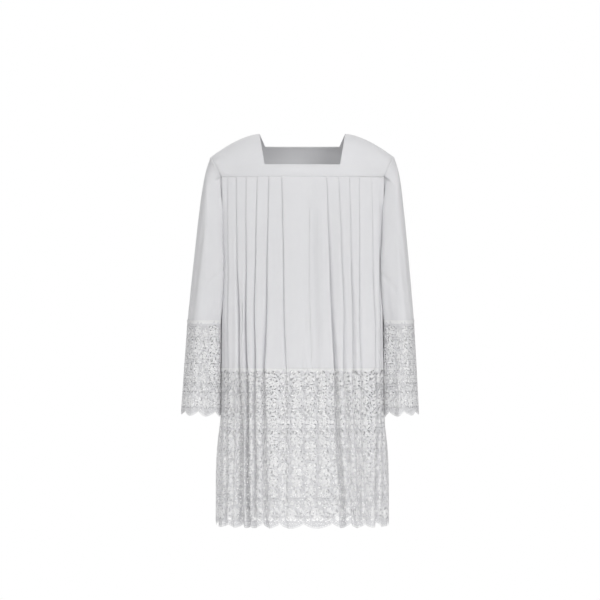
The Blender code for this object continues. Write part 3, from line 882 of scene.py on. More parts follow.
def yoke_points(face, across, down):
    """Points of the +X half of a yoke. across is 0 at the neck edge, 1 at the armhole
    and -1 at the centre. down is 0 on the shoulder and 1 on the yoke seam, along a
    quarter of an ellipse from front to back."""
    fall, forward = 1 - np.cos(down * math.pi / 2), np.sin(down * math.pi / 2)
    neck_fall = np.minimum(1, fall * YOKE_DEPTH / NECK_DEPTHS[face])
    neck = NECK_AT_SHOULDER - (NECK_AT_SHOULDER - NECK_AT_FRONT) * neck_fall
    arm = SHOULDER_END - (SHOULDER_END - YOKE_CORNER) * fall
    chest, strap = np.minimum(across, 0), np.maximum(across, 0)
    x = neck * (1 + chest) + strap * (arm - neck)
    seam_x = neck * (1 + chest) + strap * (YOKE_CORNER - neck)
    arcs, xs, ys = outline(face, np.array([-YOKE_DEPTH]))
    seam_y = np.interp(seam_x, xs[0], ys[0])
    top = -SHOULDER_DROP * strap**SHOULDER_ROUNDING
    bottom = -YOKE_DEPTH + SEAM_GAP
    y = -SEAM_GAP / 2 + forward * (seam_y + SEAM_GAP / 2)
    return fuller(np.stack([x, -OUTWARD[face] * y, top + fall * (bottom - top)], axis=-1))


def neck_share(face):
    """The share of a yoke's profile at which its neckline crosses."""
    return 2 / math.pi * math.acos(1 - NECK_DEPTHS[face] / YOKE_DEPTH)


# Meshes


def grid_corners(rows, columns, flip, closed=False):
    """Row and column of the four corners of each cell of a grid, a row after another.
    A closed grid has cells between its last column and its first."""
    cells = np.arange(rows - 1), np.arange(columns if closed else columns - 1)
    row, at = (part.reshape(-1, 1) for part in np.meshgrid(*cells, indexing="ij"))
    row, at = row + [0, 0, 1, 1], at + [0, 1, 1, 0]
    return (row[:, ::-1], at[:, ::-1]) if flip else (row, at)


def grid_faces(rows, columns, flip, closed=False):
    """The quads of a grid of points that are stored a row after another."""
    row, at = grid_corners(rows, columns, flip, closed)
    return row * columns + at % columns


def compact(faces, count):
    """The points in use by faces, of count points, and the faces renumbered for them."""
    used = np.unique(faces)
    renumber = np.zeros(count, int)
    renumber[used] = np.arange(len(used))
    return used, renumber[faces]


def smooth_normals(points, face):
    """Unit normals of a grid, turned so that they point out of the garment on the
    whole."""
    normal = grid_normals(points)
    return normal if normal[..., 1].sum() * OUTWARD[face] > 0 else -normal


def make_piece(name, points, faces, material, uv=None, normals=None):
    """A mesh object of points and faces that rides on the body. uv is the place of
    each corner of each face on the flat cloth, in metres."""
    mesh = bpy.data.meshes.new(name)
    mesh.from_pydata(points.tolist(), [], faces)
    if uv is not None:
        layer = mesh.uv_layers.new(name="flat")
        layer.data.foreach_set("uv", uv.astype(np.float32).reshape(-1))
    mesh.materials.append(material)
    mesh.shade_smooth()
    if normals is not None:
        mesh.normals_split_custom_set_from_vertices(normals.tolist())
    obj = bpy.data.objects.new(name, mesh)
    bpy.context.scene.collection.objects.link(obj)
    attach(obj, BODY)
    return obj


def plain_cloth(node, points, faces, uv, look):
    """A sheet of cotton over a solid. Its wall is centred on the sheet."""
    cotton = finish("cotton_poplin", look)
    obj = make_piece(f"{node}_cloth", points, faces.tolist(), cotton, uv)
    wall = obj.modifiers.new("wall", "SOLIDIFY")
    wall.thickness, wall.offset = look.cotton_wall, 0
    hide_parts(node)
    return obj


# Cut lace


def on_ray(x, y, degrees, distance):
    """The place at a distance from (x, y) in a direction."""
    d = np.radians(degrees)
    return np.array([x + distance * np.cos(d), y + distance * np.sin(d)])


def with_middles(polygon):
    """A polygon's corners and then the middles of its sides."""
    return np.concatenate([polygon, (polygon + np.roll(polygon, -1, axis=0)) / 2])


def spindle(centre_line, width):
    """A curved slit with pointed ends: the centre line widened on both sides by half of
    width times the square root of a sine."""
    run = unit(np.gradient(centre_line, axis=0))
    aside = np.stack([-run[:, 1], run[:, 0]], axis=1)
    swell = np.sqrt(np.sin(np.linspace(0, math.pi, len(centre_line))))[:, None] * width / 2
    swell[0] = swell[-1] = 0
    return np.concatenate([centre_line - aside * swell, (centre_line + aside * swell)[-2:0:-1]])


def slit(x, y, degrees, inner, outer, width):
    """A straight spindle on a ray from (x, y)."""
    return spindle(on_ray(x, y, degrees, np.linspace(inner, outer, SLIT_POINTS)).T, width)


def arc(x, y, radius, degrees, reach, width):
    """A spindle along an arc about (x, y), reach degrees to both sides of a direction."""
    along = degrees + np.linspace(-reach, reach, BOW_POINTS)
    return spindle(on_ray(x, y, along, radius).T, width)


def kite(x, y, degrees, inner, outer, width):
    """A four-cornered gap on a ray, widest at a share GAP_WIDEST of its length."""
    wide = on_ray(x, y, degrees, inner + GAP_WIDEST * (outer - inner))
    half = on_ray(0, 0, degrees + 90, width / 2)
    ends = (on_ray(x, y, degrees, r) for r in (inner, outer))
    return np.array([next(ends), wide - half, next(ends), wide + half])


def eyelet(x, y, radius, turn=0.0):
    """A round opening as a hexagon."""
    return on_ray(x, y, turn + np.arange(EYELET_POINTS) * 360 / EYELET_POINTS, radius).T


def scallop_height(x):
    """The lower edge above its lowest point, in millimetres: the scallop's depth times
    one less a power of the sine."""
    return SCALLOP_MM * (1 - np.abs(np.sin(math.pi * x / REPEAT_MM)) ** SCALLOP_POWER)


def flower(x, y, size, turn, gap=None):
    """Openings and dense parts of a five-petalled flower: an eye, gaps between the
    petals, a vein in each and an arc outside it. Dense parts are discs (x, y, radius)."""
    gap = gap or [share * size for share in PETAL_GAP]
    vein = [share * size for share in PETAL_VEIN]
    radius, reach, width = PETAL_ARC
    openings, dense = [eyelet(x, y, EYE * size)], [(x, y, HEART * size)]
    between = 360 // PETALS
    for petal in range(turn, turn + 360, between):
        openings.append(kite(x, y, petal + between / 2, *gap))
        openings.append(slit(x, y, petal, *vein))
        centre = on_ray(x, y, petal, PETAL_AT * size)
        openings.append(arc(*centre, radius * size, petal, reach, width * size))
        dense.append((*centre, PETAL * size))
    return openings, dense


def lace_leaf(x, y, degrees, length, width):
    """Openings and dense parts of a leaf: a vein, and an outline slit on both sides that
    bows out by a power of the sine."""
    run, aside = on_ray(0, 0, degrees, 1), on_ray(0, 0, degrees + 90, 1)
    vein = [share * length for share in LEAF_VEIN]
    openings = [slit(x, y, degrees, *vein, LEAF_VEIN_MM)]
    t = np.linspace(*LEAF_REACH, BOW_POINTS)[:, None]
    for side in (-1, 1):
        bow = side * (width / 2 + LEAF_OUTSIDE_MM) * np.sin(math.pi * t) ** LEAF_POWER
        openings.append(spindle([x, y] + run * length * t + aside * bow, LEAF_SLIT_MM))
    discs = [(*on_ray(x, y, degrees, length * s), width * swell) for s, swell in LEAF_DISCS]
    return openings, discs


def border_motifs():
    """The flower over each scallop, eyelets and slits along the edge, fans of leaves at
    the cusps, and an arch of leaves over the flower."""
    x, y = BORDER_FLOWER_MM
    motifs = [flower(x, y, BORDER_FLOWER_SIZE_MM, UP, BORDER_GAP_MM)]
    height, radius = EDGE_EYELET_MM
    for at in (np.arange(EDGE_EYELETS) + 0.5) * REPEAT_MM / EDGE_EYELETS:
        motifs.append(([eyelet(at, scallop_height(at) + height, radius)], []))
    height, half, width = EDGE_SLIT_MM
    for at in (np.arange(EDGE_SLITS) + 0.5) * REPEAT_MM / EDGE_SLITS:
        slope = np.degrees(np.arctan((scallop_height(at + 1) - scallop_height(at - 1)) / 2))
        motifs.append(([slit(at, scallop_height(at) + height, slope, -half, half, width)], []))
    for degrees, base, length in CUSP_LEAVES:
        motifs.append(lace_leaf(CUSP_LEFT_MM, base, degrees, length, CUSP_LEAF_MM))
        far = REPEAT_MM - CUSP_RIGHT_MM
        motifs.append(lace_leaf(far, base, 180 - degrees, length, CUSP_LEAF_MM))
    for degrees in ARCH_ANGLES:
        place = on_ray(x, y, degrees, ARCH_MM)
        motifs.append(lace_leaf(*place, degrees - ARCH_LEAN, *ARCH_LEAF_MM))
    return motifs


def field_motifs(height):
    """Half-drop columns of flowers with paired leaves under each, up to the heading."""
    motifs = []
    for share, start, step in FIELD_COLUMNS:
        for k, y in enumerate(np.arange(start, height + FIELD_OVER_MM, step)):
            odd = k % 2
            x = share * REPEAT_MM + FIELD_SHIFT_MM[odd]
            size = FIELD_FLOWER_MM + FIELD_ODD_MM * odd
            motifs.append(flower(x, y, size, UP + FIELD_TURN * k))
            lean = FIELD_LEAN if odd else -FIELD_LEAN
            for down, spread, length in FIELD_LEAVES:
                for side in (-1, 1):
                    leaf = x + side * FIELD_ASIDE_MM, y - down, side * spread + lean - UP
                    motifs.append(lace_leaf(*leaf, length, FIELD_LEAF_MM))
    return motifs


def join_line(height):
    """The line on which two repeats meet: it winds between the holes of the net."""
    y = np.arange(SCALLOP_MM, height, NET_ROW_MM)
    y = y[y < height - JOIN_END_MM]
    x = np.where(np.arange(len(y)) % 2, NET_MM / 2, 0.0)
    x[0] = 0.0
    return np.concatenate([np.stack([x, y], axis=1), [[0.0, height]]])


def motif_openings(height, fence):
    """The openings of all motifs, the dense discs, and points round the openings and on
    the fence. An opening that would touch an earlier one or the fence is left out."""
    openings, dense, taken = [], [], fence
    for made, discs in border_motifs() + field_motifs(height):
        dense += discs
        for opening in made:
            mine = with_middles(opening)
            gap = np.hypot(*(mine[:, None] - taken[None]).transpose(2, 0, 1))
            low = opening[:, 1].max() <= height - MOTIF_TOP_MM
            if low and gap.min() > MOTIF_SPACE_MM:
                openings.append(opening)
                taken = np.concatenate([taken, mine])
    return openings, np.array(dense), taken


def net_openings(height, hole, line, fence, dense, taken):
    """Hexagons in staggered rows, a little off their places by sines of row and column,
    as large as the hole and as the room between the motifs."""
    openings = []
    for j, k in np.ndindex(len(line) - 1, NET_COUNT):
        x = line[j, 0] + (k + 0.5) * NET_MM
        y = line[j, 1] + NET_WANDER_MM * math.sin(WANDER_UP[0] * k + WANDER_UP[1] * j)
        if 0 < k < NET_COUNT - 1:
            x += NET_WANDER_MM * math.sin(WANDER_ACROSS[0] * k + WANDER_ACROSS[1] * j)
        below = height - HEADING_MM - y
        inside = y > scallop_height(x % REPEAT_MM) + NET_EDGE_MM and below > 0
        clear = np.hypot(dense[:, 0] - x, dense[:, 1] - y) - dense[:, 2]
        near = np.hypot(taken[:, 0] - x, taken[:, 1] - y)
        near[: len(fence)] += JOIN_SPACE_MM
        room = min(near.min() - NET_SPACE_MM, clear.min() - NET_DENSE_SPACE_MM)
        if inside and room > LEAST_ROOM_MM:
            at_heading = HEADING_HOLE[0] + HEADING_HOLE[1] * below
            at_edge = EDGE_HOLE[0] + EDGE_HOLE[1] * y
            size = min(hole, room, at_heading, at_edge)
            openings.append(eyelet(x, y, size, NET_TURN + math.degrees(j)))
    return openings


def lace_strip(height, hole):
    """One repeat of the lace in the flat, triangulated with its openings left out:
    points in millimetres, anticlockwise triangles, and which of them are dense."""
    line = join_line(height)
    fence_y = np.arange(SCALLOP_MM, height, FENCE_STEP_MM)
    fence = np.stack([np.interp(fence_y, line[:, 1], line[:, 0]), fence_y], axis=1)
    fence = np.concatenate([fence, fence + [REPEAT_MM, 0]])
    openings, dense, taken = motif_openings(height, fence)
    openings += net_openings(height, hole, line, fence, dense, taken)
    edge_x = np.linspace(0, REPEAT_MM, EDGE_POINTS)
    lower = np.stack([edge_x, scallop_height(edge_x)], axis=1)
    top_x = np.linspace(REPEAT_MM, 0, TOP_POINTS)[1:-1]
    top = np.stack([top_x, np.full(len(top_x), height)], axis=1)
    outer = np.concatenate([lower, line[1:] + [REPEAT_MM, 0], top, line[:0:-1]])
    flat, faces = [], []
    for polygon in [outer, *openings]:
        faces.append(list(range(len(flat), len(flat) + len(polygon))))
        flat += [Vector(p) for p in polygon.tolist()]
    made = delaunay_2d_cdt(flat, [], faces, TRIANGLES_INSIDE, TOLERANCE_MM, True)
    corners, _, triangles, _, _, origins = made
    kept = np.array([t for t, inside in zip(triangles, origins) if inside == [0]])
    points = np.array([tuple(p) for p in corners])
    middle = points[kept].mean(axis=1)
    away = np.hypot(*(middle[:, None] - dense[None, :, :2]).transpose(2, 0, 1))
    above_edge = middle[:, 1] - scallop_height(middle[:, 0])
    stitched = (away < dense[:, 2] + DENSE_MARGIN_MM).any(axis=1)
    stitched |= (above_edge < EDGE_BAND_MM) | (middle[:, 1] > height - HEADING_MM)
    return points, kept, stitched


def lace_repeats(height, count, hole):
    """The strip set side by side and welded, with a slow sine sideways so that nothing
    stands in straight columns. Places are shares of length and height."""
    points, triangles, dense = lace_strip(height, hole)
    everything = np.concatenate([points + [REPEAT_MM * k, 0] for k in range(count)])
    faces = np.concatenate([triangles + len(points) * k for k in range(count)])
    welds = np.round(everything * WELDS_A_MM).astype(int)
    first, where = np.unique(welds, axis=0, return_index=True, return_inverse=True)[1:]
    used, faces = compact(where.reshape(-1)[faces], len(first))
    welded = everything[first][used]
    whole = REPEAT_MM * count
    line = join_line(height)
    join_x = np.interp(welded[:, 1], line[:, 1], line[:, 0])
    for end in (0.0, whole):
        welded[np.abs(welded[:, 0] - end - join_x) < JOINED_MM, 0] = end
    inside = np.sqrt(np.abs(np.sin(math.pi * np.clip(welded[:, 0] / whole, 0, 1))))
    bend = WAVE_MM * np.sin(2 * math.pi * welded[:, 1] / WAVE_LENGTH_MM) * inside
    places = np.stack([(welded[:, 0] + bend) / whole, welded[:, 1] / height], axis=1)
    return places, faces, np.tile(dense, count)


def sample(grid, across, down):
    """A grid of points read at places (across, down) from 0 to 1, on straight lines
    between its points."""
    rows, columns = grid.shape[:2]
    c = np.clip(across, 0, 1) * (columns - 1)
    r = np.clip(down, 0, 1) * (rows - 1)
    i, j = np.minimum(r.astype(int), rows - 2), np.minimum(c.astype(int), columns - 2)
    u, v = (c - j)[:, None], (r - i)[:, None]
    upper = grid[i, j] * (1 - u) + grid[i, j + 1] * u
    lower = grid[i + 1, j] * (1 - u) + grid[i + 1, j + 1] * u
    return upper * (1 - v) + lower * v


def even_columns(points, along):
    """Each row of a grid read again at even places along the flat cloth."""
    at = np.linspace(along.min(), along.max(), LACE_COLUMNS)
    places = np.broadcast_to(at, (len(points), LACE_COLUMNS))
    return np.stack([rows_interp(places, along, points[..., k]) for k in range(3)], axis=2)


def lay_lace(node, grid, face, height, look):
    """Lace of a height laid on a grid whose rows run down and whose columns are even on
    the flat. Its triangles are turned to the side of the grid's outward normals."""
    lengths = steps_of(grid, 1).sum(axis=1)
    count = round(lengths.mean() / (REPEAT_MM * MM))
    places, faces, dense = lace_repeats(height / MM, count, NET_HOLES_MM[face])
    across, down = places[:, 0], 1 - places[:, 1]
    points = sample(grid, across, down)
    normals = unit(sample(smooth_normals(grid, face), across, down))
    a, b, c = (points[faces[:, k]] for k in range(3))
    if (np.cross(b - a, c - a) * normals[faces[:, 0]]).sum() < 0:
        faces = faces[:, ::-1]
    uv = (places * [lengths.mean(), height])[faces]
    stitched = finish("stitched_cotton_lace", look)
    obj = make_piece(f"{node}_cloth", points, faces.tolist(), stitched, uv, normals)
    # The net's faces take a material painted darker: painted shade for the shaded inside seen
    # through the net.
    obj.data.materials.append(finish("cotton_lace_net_painted_shade", look))
    obj.data.polygons.foreach_set("material_index", np.where(dense, 0, 1))
    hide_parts(node)


# Finishes

# A wave texture repeats this many times its scale
BANDS = math.pi / 10


def linear(hex_colour):
    """An sRGB hex colour as linear red, green, blue and an alpha of one."""
    parts = [int(hex_colour[i : i + 2], 16) / 255 for i in (1, 3, 5)]
    return (*[c / 12.92 if c <= 0.04045 else ((c + 0.055) / 1.055) ** 2.4 for c in parts], 1.0)


def add_node(tree, kind, settings=None, values=None, links=None):
    """A node with its settings, the values of its inputs and the links into them."""
    node = tree.nodes.new(kind)
    for key, value in (settings or {}).items():
        setattr(node, key, value)
    for key, value in (values or {}).items():
        node.inputs[key].default_value = value
    for key, socket in (links or {}).items():
        tree.links.new(socket, node.inputs[key])
    return node


def start_material(name):
    """An empty node material and its tree."""
    made = bpy.data.materials.new(name)
    made.use_nodes = True
    made.node_tree.nodes.clear()
    return made, made.node_tree


def end_material(tree, values, tones=None, relief=None):
    """The surface of a material, from constants, two tones and the socket that mixes
    them, and a relief's strength, depth and the socket of its height."""
    links = {}
    if tones:
        ends = {"A": linear(tones[0]), "B": linear(tones[1])}
        mixed = add_node(tree, "ShaderNodeMix", {"data_type": "RGBA"}, ends, {"Factor": tones[2]})
        links["Base Color"] = mixed.outputs["Result"]
    if relief:
        size = {"Strength": relief[0], "Distance": relief[1]}
        bump = add_node(tree, "ShaderNodeBump", values=size, links={"Height": relief[2]})
        links["Normal"] = bump.outputs["Normal"]
    shader = add_node(tree, "ShaderNodeBsdfPrincipled", values=values, links=links)
    add_node(tree, "ShaderNodeOutputMaterial", links={"Surface": shader.outputs["BSDF"]})


def cotton_poplin(look):
    """Plain-woven bleached cotton: matt, near white, with a fine crossed weave and a
    faint cloudiness where it has been pressed. The weave is drawn at 1.1 mm instead of
    its real 0.25 mm, so that it shows a little."""
    made, tree = start_material("cotton_poplin")
    flat = add_node(tree, "ShaderNodeUVMap", {"uv_map": "flat"}).outputs["UV"]
    size = {"Scale": BANDS / (1.1 * MM), "Distortion": 0.6, "Detail": 1.0}
    threads = {}
    for k, direction in enumerate("XY"):
        way = {"bands_direction": direction}
        wave = add_node(tree, "ShaderNodeTexWave", way, size, {"Vector": flat})
        threads[k] = wave.outputs["Fac"]
    weave = add_node(tree, "ShaderNodeMath", {"operation": "MULTIPLY"}, links=threads)
    size = {"Scale": 28.0, "Detail": 3.0, "Roughness": 0.55}
    cloud = add_node(tree, "ShaderNodeTexNoise", values=size, links={"Vector": flat})
    surface = {
        "Roughness": 0.88,
        "IOR": 1.5,
        "Sheen Weight": 0.12,
        "Sheen Roughness": 0.5,
        "Subsurface Weight": 0.45,
        "Subsurface Radius": (1.0, 1.0, 1.0),
        "Subsurface Scale": 2.0 * MM,
    }
    tones = look.cotton_shade, look.cotton_light, cloud.outputs["Fac"]
    end_material(tree, surface, tones, (0.10, 0.3 * MM, weave.outputs["Value"]))
    return made


def lace_cloth(name, shade, light, bundle_mm, relief):
    """Cotton lace: fine bundles of thread, drawn wide enough to show, in two tones mixed by the
    same wave as the relief, so the darker tone in the low parts between bundles is painted shade
    and the lighter tone on the bundles is the thread's own.
    """
    made, tree = start_material(name)
    flat = add_node(tree, "ShaderNodeUVMap", {"uv_map": "flat"}).outputs["UV"]
    size = {"Scale": BANDS / (bundle_mm * MM), "Distortion": 4.0, "Detail": 2.0}
    way = {"bands_direction": "DIAGONAL"}
    bundles = add_node(tree, "ShaderNodeTexWave", way, size, {"Vector": flat}).outputs["Fac"]
    surface = {"Roughness": 0.72, "IOR": 1.5, "Sheen Weight": 0.15, "Sheen Roughness": 0.4}
    # The tones follow the relief's height: painted shade in the low parts between the bundles.
    end_material(tree, surface, (shade, light, bundles), (relief, 0.5 * MM, bundles))
    return made


def stitched_lace(look):
    """The flowers and leaves of the lace: mercerised cotton in dense satin stitch, with
    a slight silkiness along its bundles of thread, which are drawn 1.8 mm wide."""
    return lace_cloth("stitched_cotton_lace", look.lace_groove_painted_shade, look.lace_light, 1.8, 0.3)


def lace_net(look):
    """The ground between them: thin plied threads round small holes. Both its tones are painted
    darker than the flowers: painted shade for the shaded inside of the garment, seen through a
    net more open than it can be cut."""
    return lace_cloth("cotton_lace_net_painted_shade", look.net_painted_shade_dark, look.net_painted_shade_light, 1.2, 0.2)


def spun_thread(look):
    """Spun cotton sewing thread: a touch creamier and rougher than the cloth, with the
    twist of its plies."""
    made, tree = start_material("spun_cotton_thread")
    place = add_node(tree, "ShaderNodeTexCoord").outputs["Object"]
    size = {"Scale": 900.0, "Detail": 2.0}
    plies = add_node(tree, "ShaderNodeTexNoise", values=size, links={"Vector": place})
    tones = look.thread_shade, look.thread_light, plies.outputs["Fac"]
    end_material(tree, {"Roughness": 0.8, "IOR": 1.5}, tones)
    return made


def painted_floor(stage):
    """Matt white studio paint, with a faint roller unevenness."""
    made, tree = start_material("matt_studio_paint")
    place = add_node(tree, "ShaderNodeTexCoord").outputs["Object"]
    size = {"Scale": 30.0, "Detail": 4.0}
    roller = add_node(tree, "ShaderNodeTexNoise", values=size, links={"Vector": place})
    surface = {"Base Color": linear(stage.floor_colour), "Roughness": 0.9}
    end_material(tree, surface, relief=(0.05, 0.5 * MM, roller.outputs["Fac"]))
    return made


def finish(kind, look):
    """The named finish, made once."""
    makers = {
        "cotton_poplin": cotton_poplin,
        "stitched_cotton_lace": stitched_lace,
        "cotton_lace_net_painted_shade": lace_net,
        "spun_cotton_thread": spun_thread,
    }
    return bpy.data.materials.get(kind) or makers[kind](look)


# Grids of the pieces


def yoke_grid(face):
    """A whole yoke with its turned lower edge: rows down it, columns from -X to +X,
    and which of its cells lie under the neckline or in a strap."""
    neck = neck_share(face)
    beside = np.linspace(0, neck, ROWS_BESIDE_NECK)
    down = np.concatenate([beside, np.linspace(neck, 1, ROWS_BELOW_NECK)[1:]])
    chest = np.linspace(-1, 0, CHEST_COLUMNS)
    half = np.concatenate([chest, np.linspace(0, 1, STRAP_COLUMNS)[1:]])
    left = yoke_points(face, *np.meshgrid(half, down))
    grid = np.concatenate([left[:, :0:-1] * [-1, 1, 1], left], axis=1)
    across = np.concatenate([half[:0:-1], half])
    normals = smooth_normals(grid, face)
    low = smooth_step((down - EDGE_LIFT_FROM) / EDGE_LIFT_OVER)[:, None, None]
    grid = grid + normals * EDGE_LIFT * low
    edge = [grid[-1] - normals[-1] * i * MM - [0, 0, d * MM] for i, d in TURNED_EDGE_MM]
    grid = np.concatenate([grid, edge])
    inner = (across[:-1] < 0) | (across[1:] < 0)
    keep = np.ones((len(grid) - 1, len(across) - 1), bool)
    keep[: ROWS_BESIDE_NECK - 1, inner] = False
    return grid, keep


def yoke_line(face, across, depth):
    """Points on a yoke at shares across it, depth below the shoulder line, with their
    normals, once for each half of the yoke."""
    top = -SHOULDER_DROP * np.maximum(across, 0) ** SHOULDER_ROUNDING
    fall = np.clip((-depth - top) / (-YOKE_DEPTH + SEAM_GAP - top), 0, 1)
    down = np.arccos(1 - fall) * 2 / math.pi
    points = yoke_points(face, across, down)
    step = 1e-3
    one = yoke_points(face, across + step, down) - points
    other = yoke_points(face, across, down - step) - points
    normals = unit(np.cross(one, other))
    normals *= np.sign(normals[:, 1:2]) * OUTWARD[face]
    return [(points * [s, 1, 1], normals * [s, 1, 1]) for s in (-1, 1)]


def body_grid(face, heights, amount, look):
    """A body panel at heights, with the flat place of each point and of the panel's
    fold points."""
    flat = flat_places(panel_rows(face, heights))
    return *hang_rows(face, heights, flat, look.fold_sway, amount), flat


def sleeve_grid(side, sway):
    """A sleeve as a closed tube: rows from the armhole down, columns round it from the
    outer line by the front to the inner line and back."""
    count = HALF_SLEEVE_COLUMNS
    front, back = (armhole(face, side, sway, count) for face in OUTWARD)
    loop = np.concatenate([front, back[-2:0:-1]])
    out = unit((loop - loop.mean(axis=0)) * [0, 1, 1])
    under = loop - [ALLOWANCE_IN, 0, 0] + out * ALLOWANCE_OUT
    angle = np.linspace(0, math.pi, count)
    ahead, behind = (ring_points(SLEEVE_RINGS, angle, face, 0.0) for face in OUTWARD)
    rings = np.concatenate([ahead, behind[:, -2:0:-1]], axis=1)
    first = loop + [SLEEVE_SEAM_OFFSET, 0, 0]
    rows = between_rows(np.concatenate([first[None], rings]), SLEEVE_ROWS)
    rows = np.concatenate([under[None], rows])
    degrees = np.degrees(np.concatenate([angle, -angle[-2:0:-1]]))
    rows = crease_sleeve(rows, degrees, SLEEVE_CREASES[side])
    rows[2:] = in_the_hollow(rows[2:])
    return swung(rows, side)


def cuff_grid(side, face):
    """Half a cuff: rows down it, columns from its outer to its inner line, with lobes
    that grow from nothing at the seam, and its normals."""
    angle = np.linspace(0, math.pi, CUFF_COLUMNS)
    rows = between_rows(ring_points(CUFF_RINGS, angle, face, LOBE_DEPTHS), CUFF_ROWS)
    rows = in_the_hollow(rows)
    rows[..., 1] += OUTWARD[face] * SEAM_GAP
    grid = swung(rows, side)
    return grid, smooth_normals(grid, face)


# Sewing


def stitch_row(path, normals, look):
    """Stitches along a path: every one is a four-sided spindle, thick for the middle
    half of its length and pointed at both ends, and lies on the cloth."""
    along = running(steps_of(path, 0))
    pitch = look.stitch_length + look.stitch_space
    starts = np.arange(pitch, along[-1] - pitch, pitch)
    begin = read_path(starts, along, path)
    run = read_path(starts + look.stitch_length, along, path) - begin
    up = read_path(starts, along, normals)
    aside = unit(np.cross(up, run))
    radius = look.stitch_width / 2
    points = []
    for share, swell in STITCH_RINGS:
        centre = begin + share * run + up * radius * (STITCH_REST + STITCH_RISE * swell)
        for a, u in ((1, 0), (0, 1), (-1, 0), (0, -1)) if swell else ((0, 0),):
            points.append(centre + swell * radius * (a * aside + u * STITCH_FLATNESS * up))
    return np.stack(points, axis=1)


def sew(name, rows, look):
    """One mesh of all the stitch rows of a seam."""
    stitches = np.concatenate([stitch_row(path, normals, look) for path, normals in rows])
    starts = range(0, STITCH_POINTS * len(stitches), STITCH_POINTS)
    faces = [[start + i for i in face] for start in starts for face in STITCH_FACES]
    thread = finish("spun_cotton_thread", look)
    make_piece(name, stitches.reshape(-1, 3), faces, thread)


def heading_row(face, look):
    """The row over the heading of the hem lace, with its normals."""
    heights = LACE_SEAM + HEADING_ROW + np.array([1, 0, -1]) * MM
    amount = look.flutter * BODY_FLUTTER_SHARE
    grid = even_columns(*body_grid(face, heights, amount, look)[:2])
    normals = smooth_normals(grid, face)[1]
    return grid[1] + normals * HEADING_ROW_LIFT, normals


def armhole_row(side, look):
    """The row round an armhole, on the third row of points below the sleeve's seam."""
    grid = sleeve_grid(side, look.fold_sway)
    loop, next_loop = grid[3], grid[4]
    normals = unit(np.cross(np.roll(loop, -1, axis=0) - loop, next_loop - loop))
    normals *= np.sign((normals * (loop - loop.mean(axis=0))).sum(axis=1, keepdims=True))
    loop, normals = (np.concatenate([part, part[:1]]) for part in (loop, normals))
    return loop + normals * look.cotton_wall / 2, normals


# Pieces


def place_yokes(look):
    """Both yokes, each one sheet over the shoulders and across the chest or back. Its
    flat place is the distance sideways and the mean distance down the cloth."""
    for face in OUTWARD:
        grid, keep = yoke_grid(face)
        rows, columns = grid.shape[:2]
        down = running(steps_of(grid, 0).mean(axis=1))
        uv = np.dstack([grid[..., 0], np.broadcast_to(-down[:, None], (rows, columns))])
        faces = grid_faces(rows, columns, face == "front")[keep.reshape(-1)]
        used, faces = compact(faces, rows * columns)
        uv = uv.reshape(-1, 2)[used][faces]
        obj = plain_cloth(f"yoke_{face}", grid.reshape(-1, 3)[used], faces, uv, look)


def place_body(look):
    """The pleated body, front and back."""
    ends = YOKE_SEAM - PANEL_CLEARANCE, LACE_SEAM + PANEL_CLEARANCE
    heights = np.linspace(*ends, PANEL_ROWS)
    for face in OUTWARD:
        grid, along, flat = body_grid(face, heights, look.flutter * BODY_FLUTTER_SHARE, look)
        grid = crease_panel(grid, smooth_normals(grid, face), BODY_CREASES[face])
        rows, columns = grid.shape[:2]
        faces = grid_faces(rows, columns, face == "front")
        down = np.broadcast_to(heights[:, None], along.shape)
        uv = np.dstack([along - (flat[0] + flat[-1]) / 2, down]).reshape(-1, 2)[faces]
        obj = plain_cloth(f"body_{face}", grid.reshape(-1, 3), faces, uv, look)


def place_hem_lace(look):
    """The deep lace under the body, front and back, its heading sewn over the seam."""
    top = LACE_SEAM + HEADING_OVERLAP
    heights = np.concatenate([[top], np.linspace(LACE_SEAM - SEAM_GAP, HEM, PANEL_ROWS)])
    for face in OUTWARD:
        grid = even_columns(*body_grid(face, heights, look.flutter, look)[:2])
        rise = (grid[..., 2:] - LACE_SEAM + HEADING_RISE_FROM) / HEADING_RISE_OVER
        grid = grid + smooth_normals(grid, face) * HEADING_LIFT * smooth_step(rise)
        lay_lace(f"hem_lace_{face}", grid, face, top - HEM, look)


def place_sleeves(look):
    """Both sleeves, wide tubes of cloth. The flat place runs round the tube in even
    steps, and down it by the mean distance along the cloth."""
    for side in SIGN:
        grid = sleeve_grid(side, look.fold_sway)
        rows, columns = grid.shape[:2]
        row, at = grid_corners(rows, columns, side == "right", closed=True)
        round_it = steps_of(grid, 1).sum(axis=1)
        down = running(steps_of(grid, 0).mean(axis=1))
        uv = np.stack([at / columns * round_it.mean(), -down[row]], axis=2)
        faces = row * columns + at % columns
        obj = plain_cloth(f"sleeve_{side}", grid.reshape(-1, 3), faces, uv, look)


def place_cuff_lace(look):
    """The lace of both cuffs, each in a front and a back half."""
    shares = np.linspace(1, 0, CUFF_ROWS)[:, None, None]
    over = smooth_step((shares - CUFF_HEADING_FROM) / CUFF_HEADING_OVER)
    for side in SIGN:
        for face in OUTWARD:
            grid, normals = cuff_grid(side, face)
            grid = grid + normals * HEADING_LIFT * over
            grid = np.concatenate([grid[:1] + [0, 0, HEADING_OVERLAP], grid])
            height = grid[0, :, 2].mean() - grid[-1, :, 2].mean()
            node = f"cuff_lace_{side}_{face}"
            lay_lace(node, grid, face, height, look)


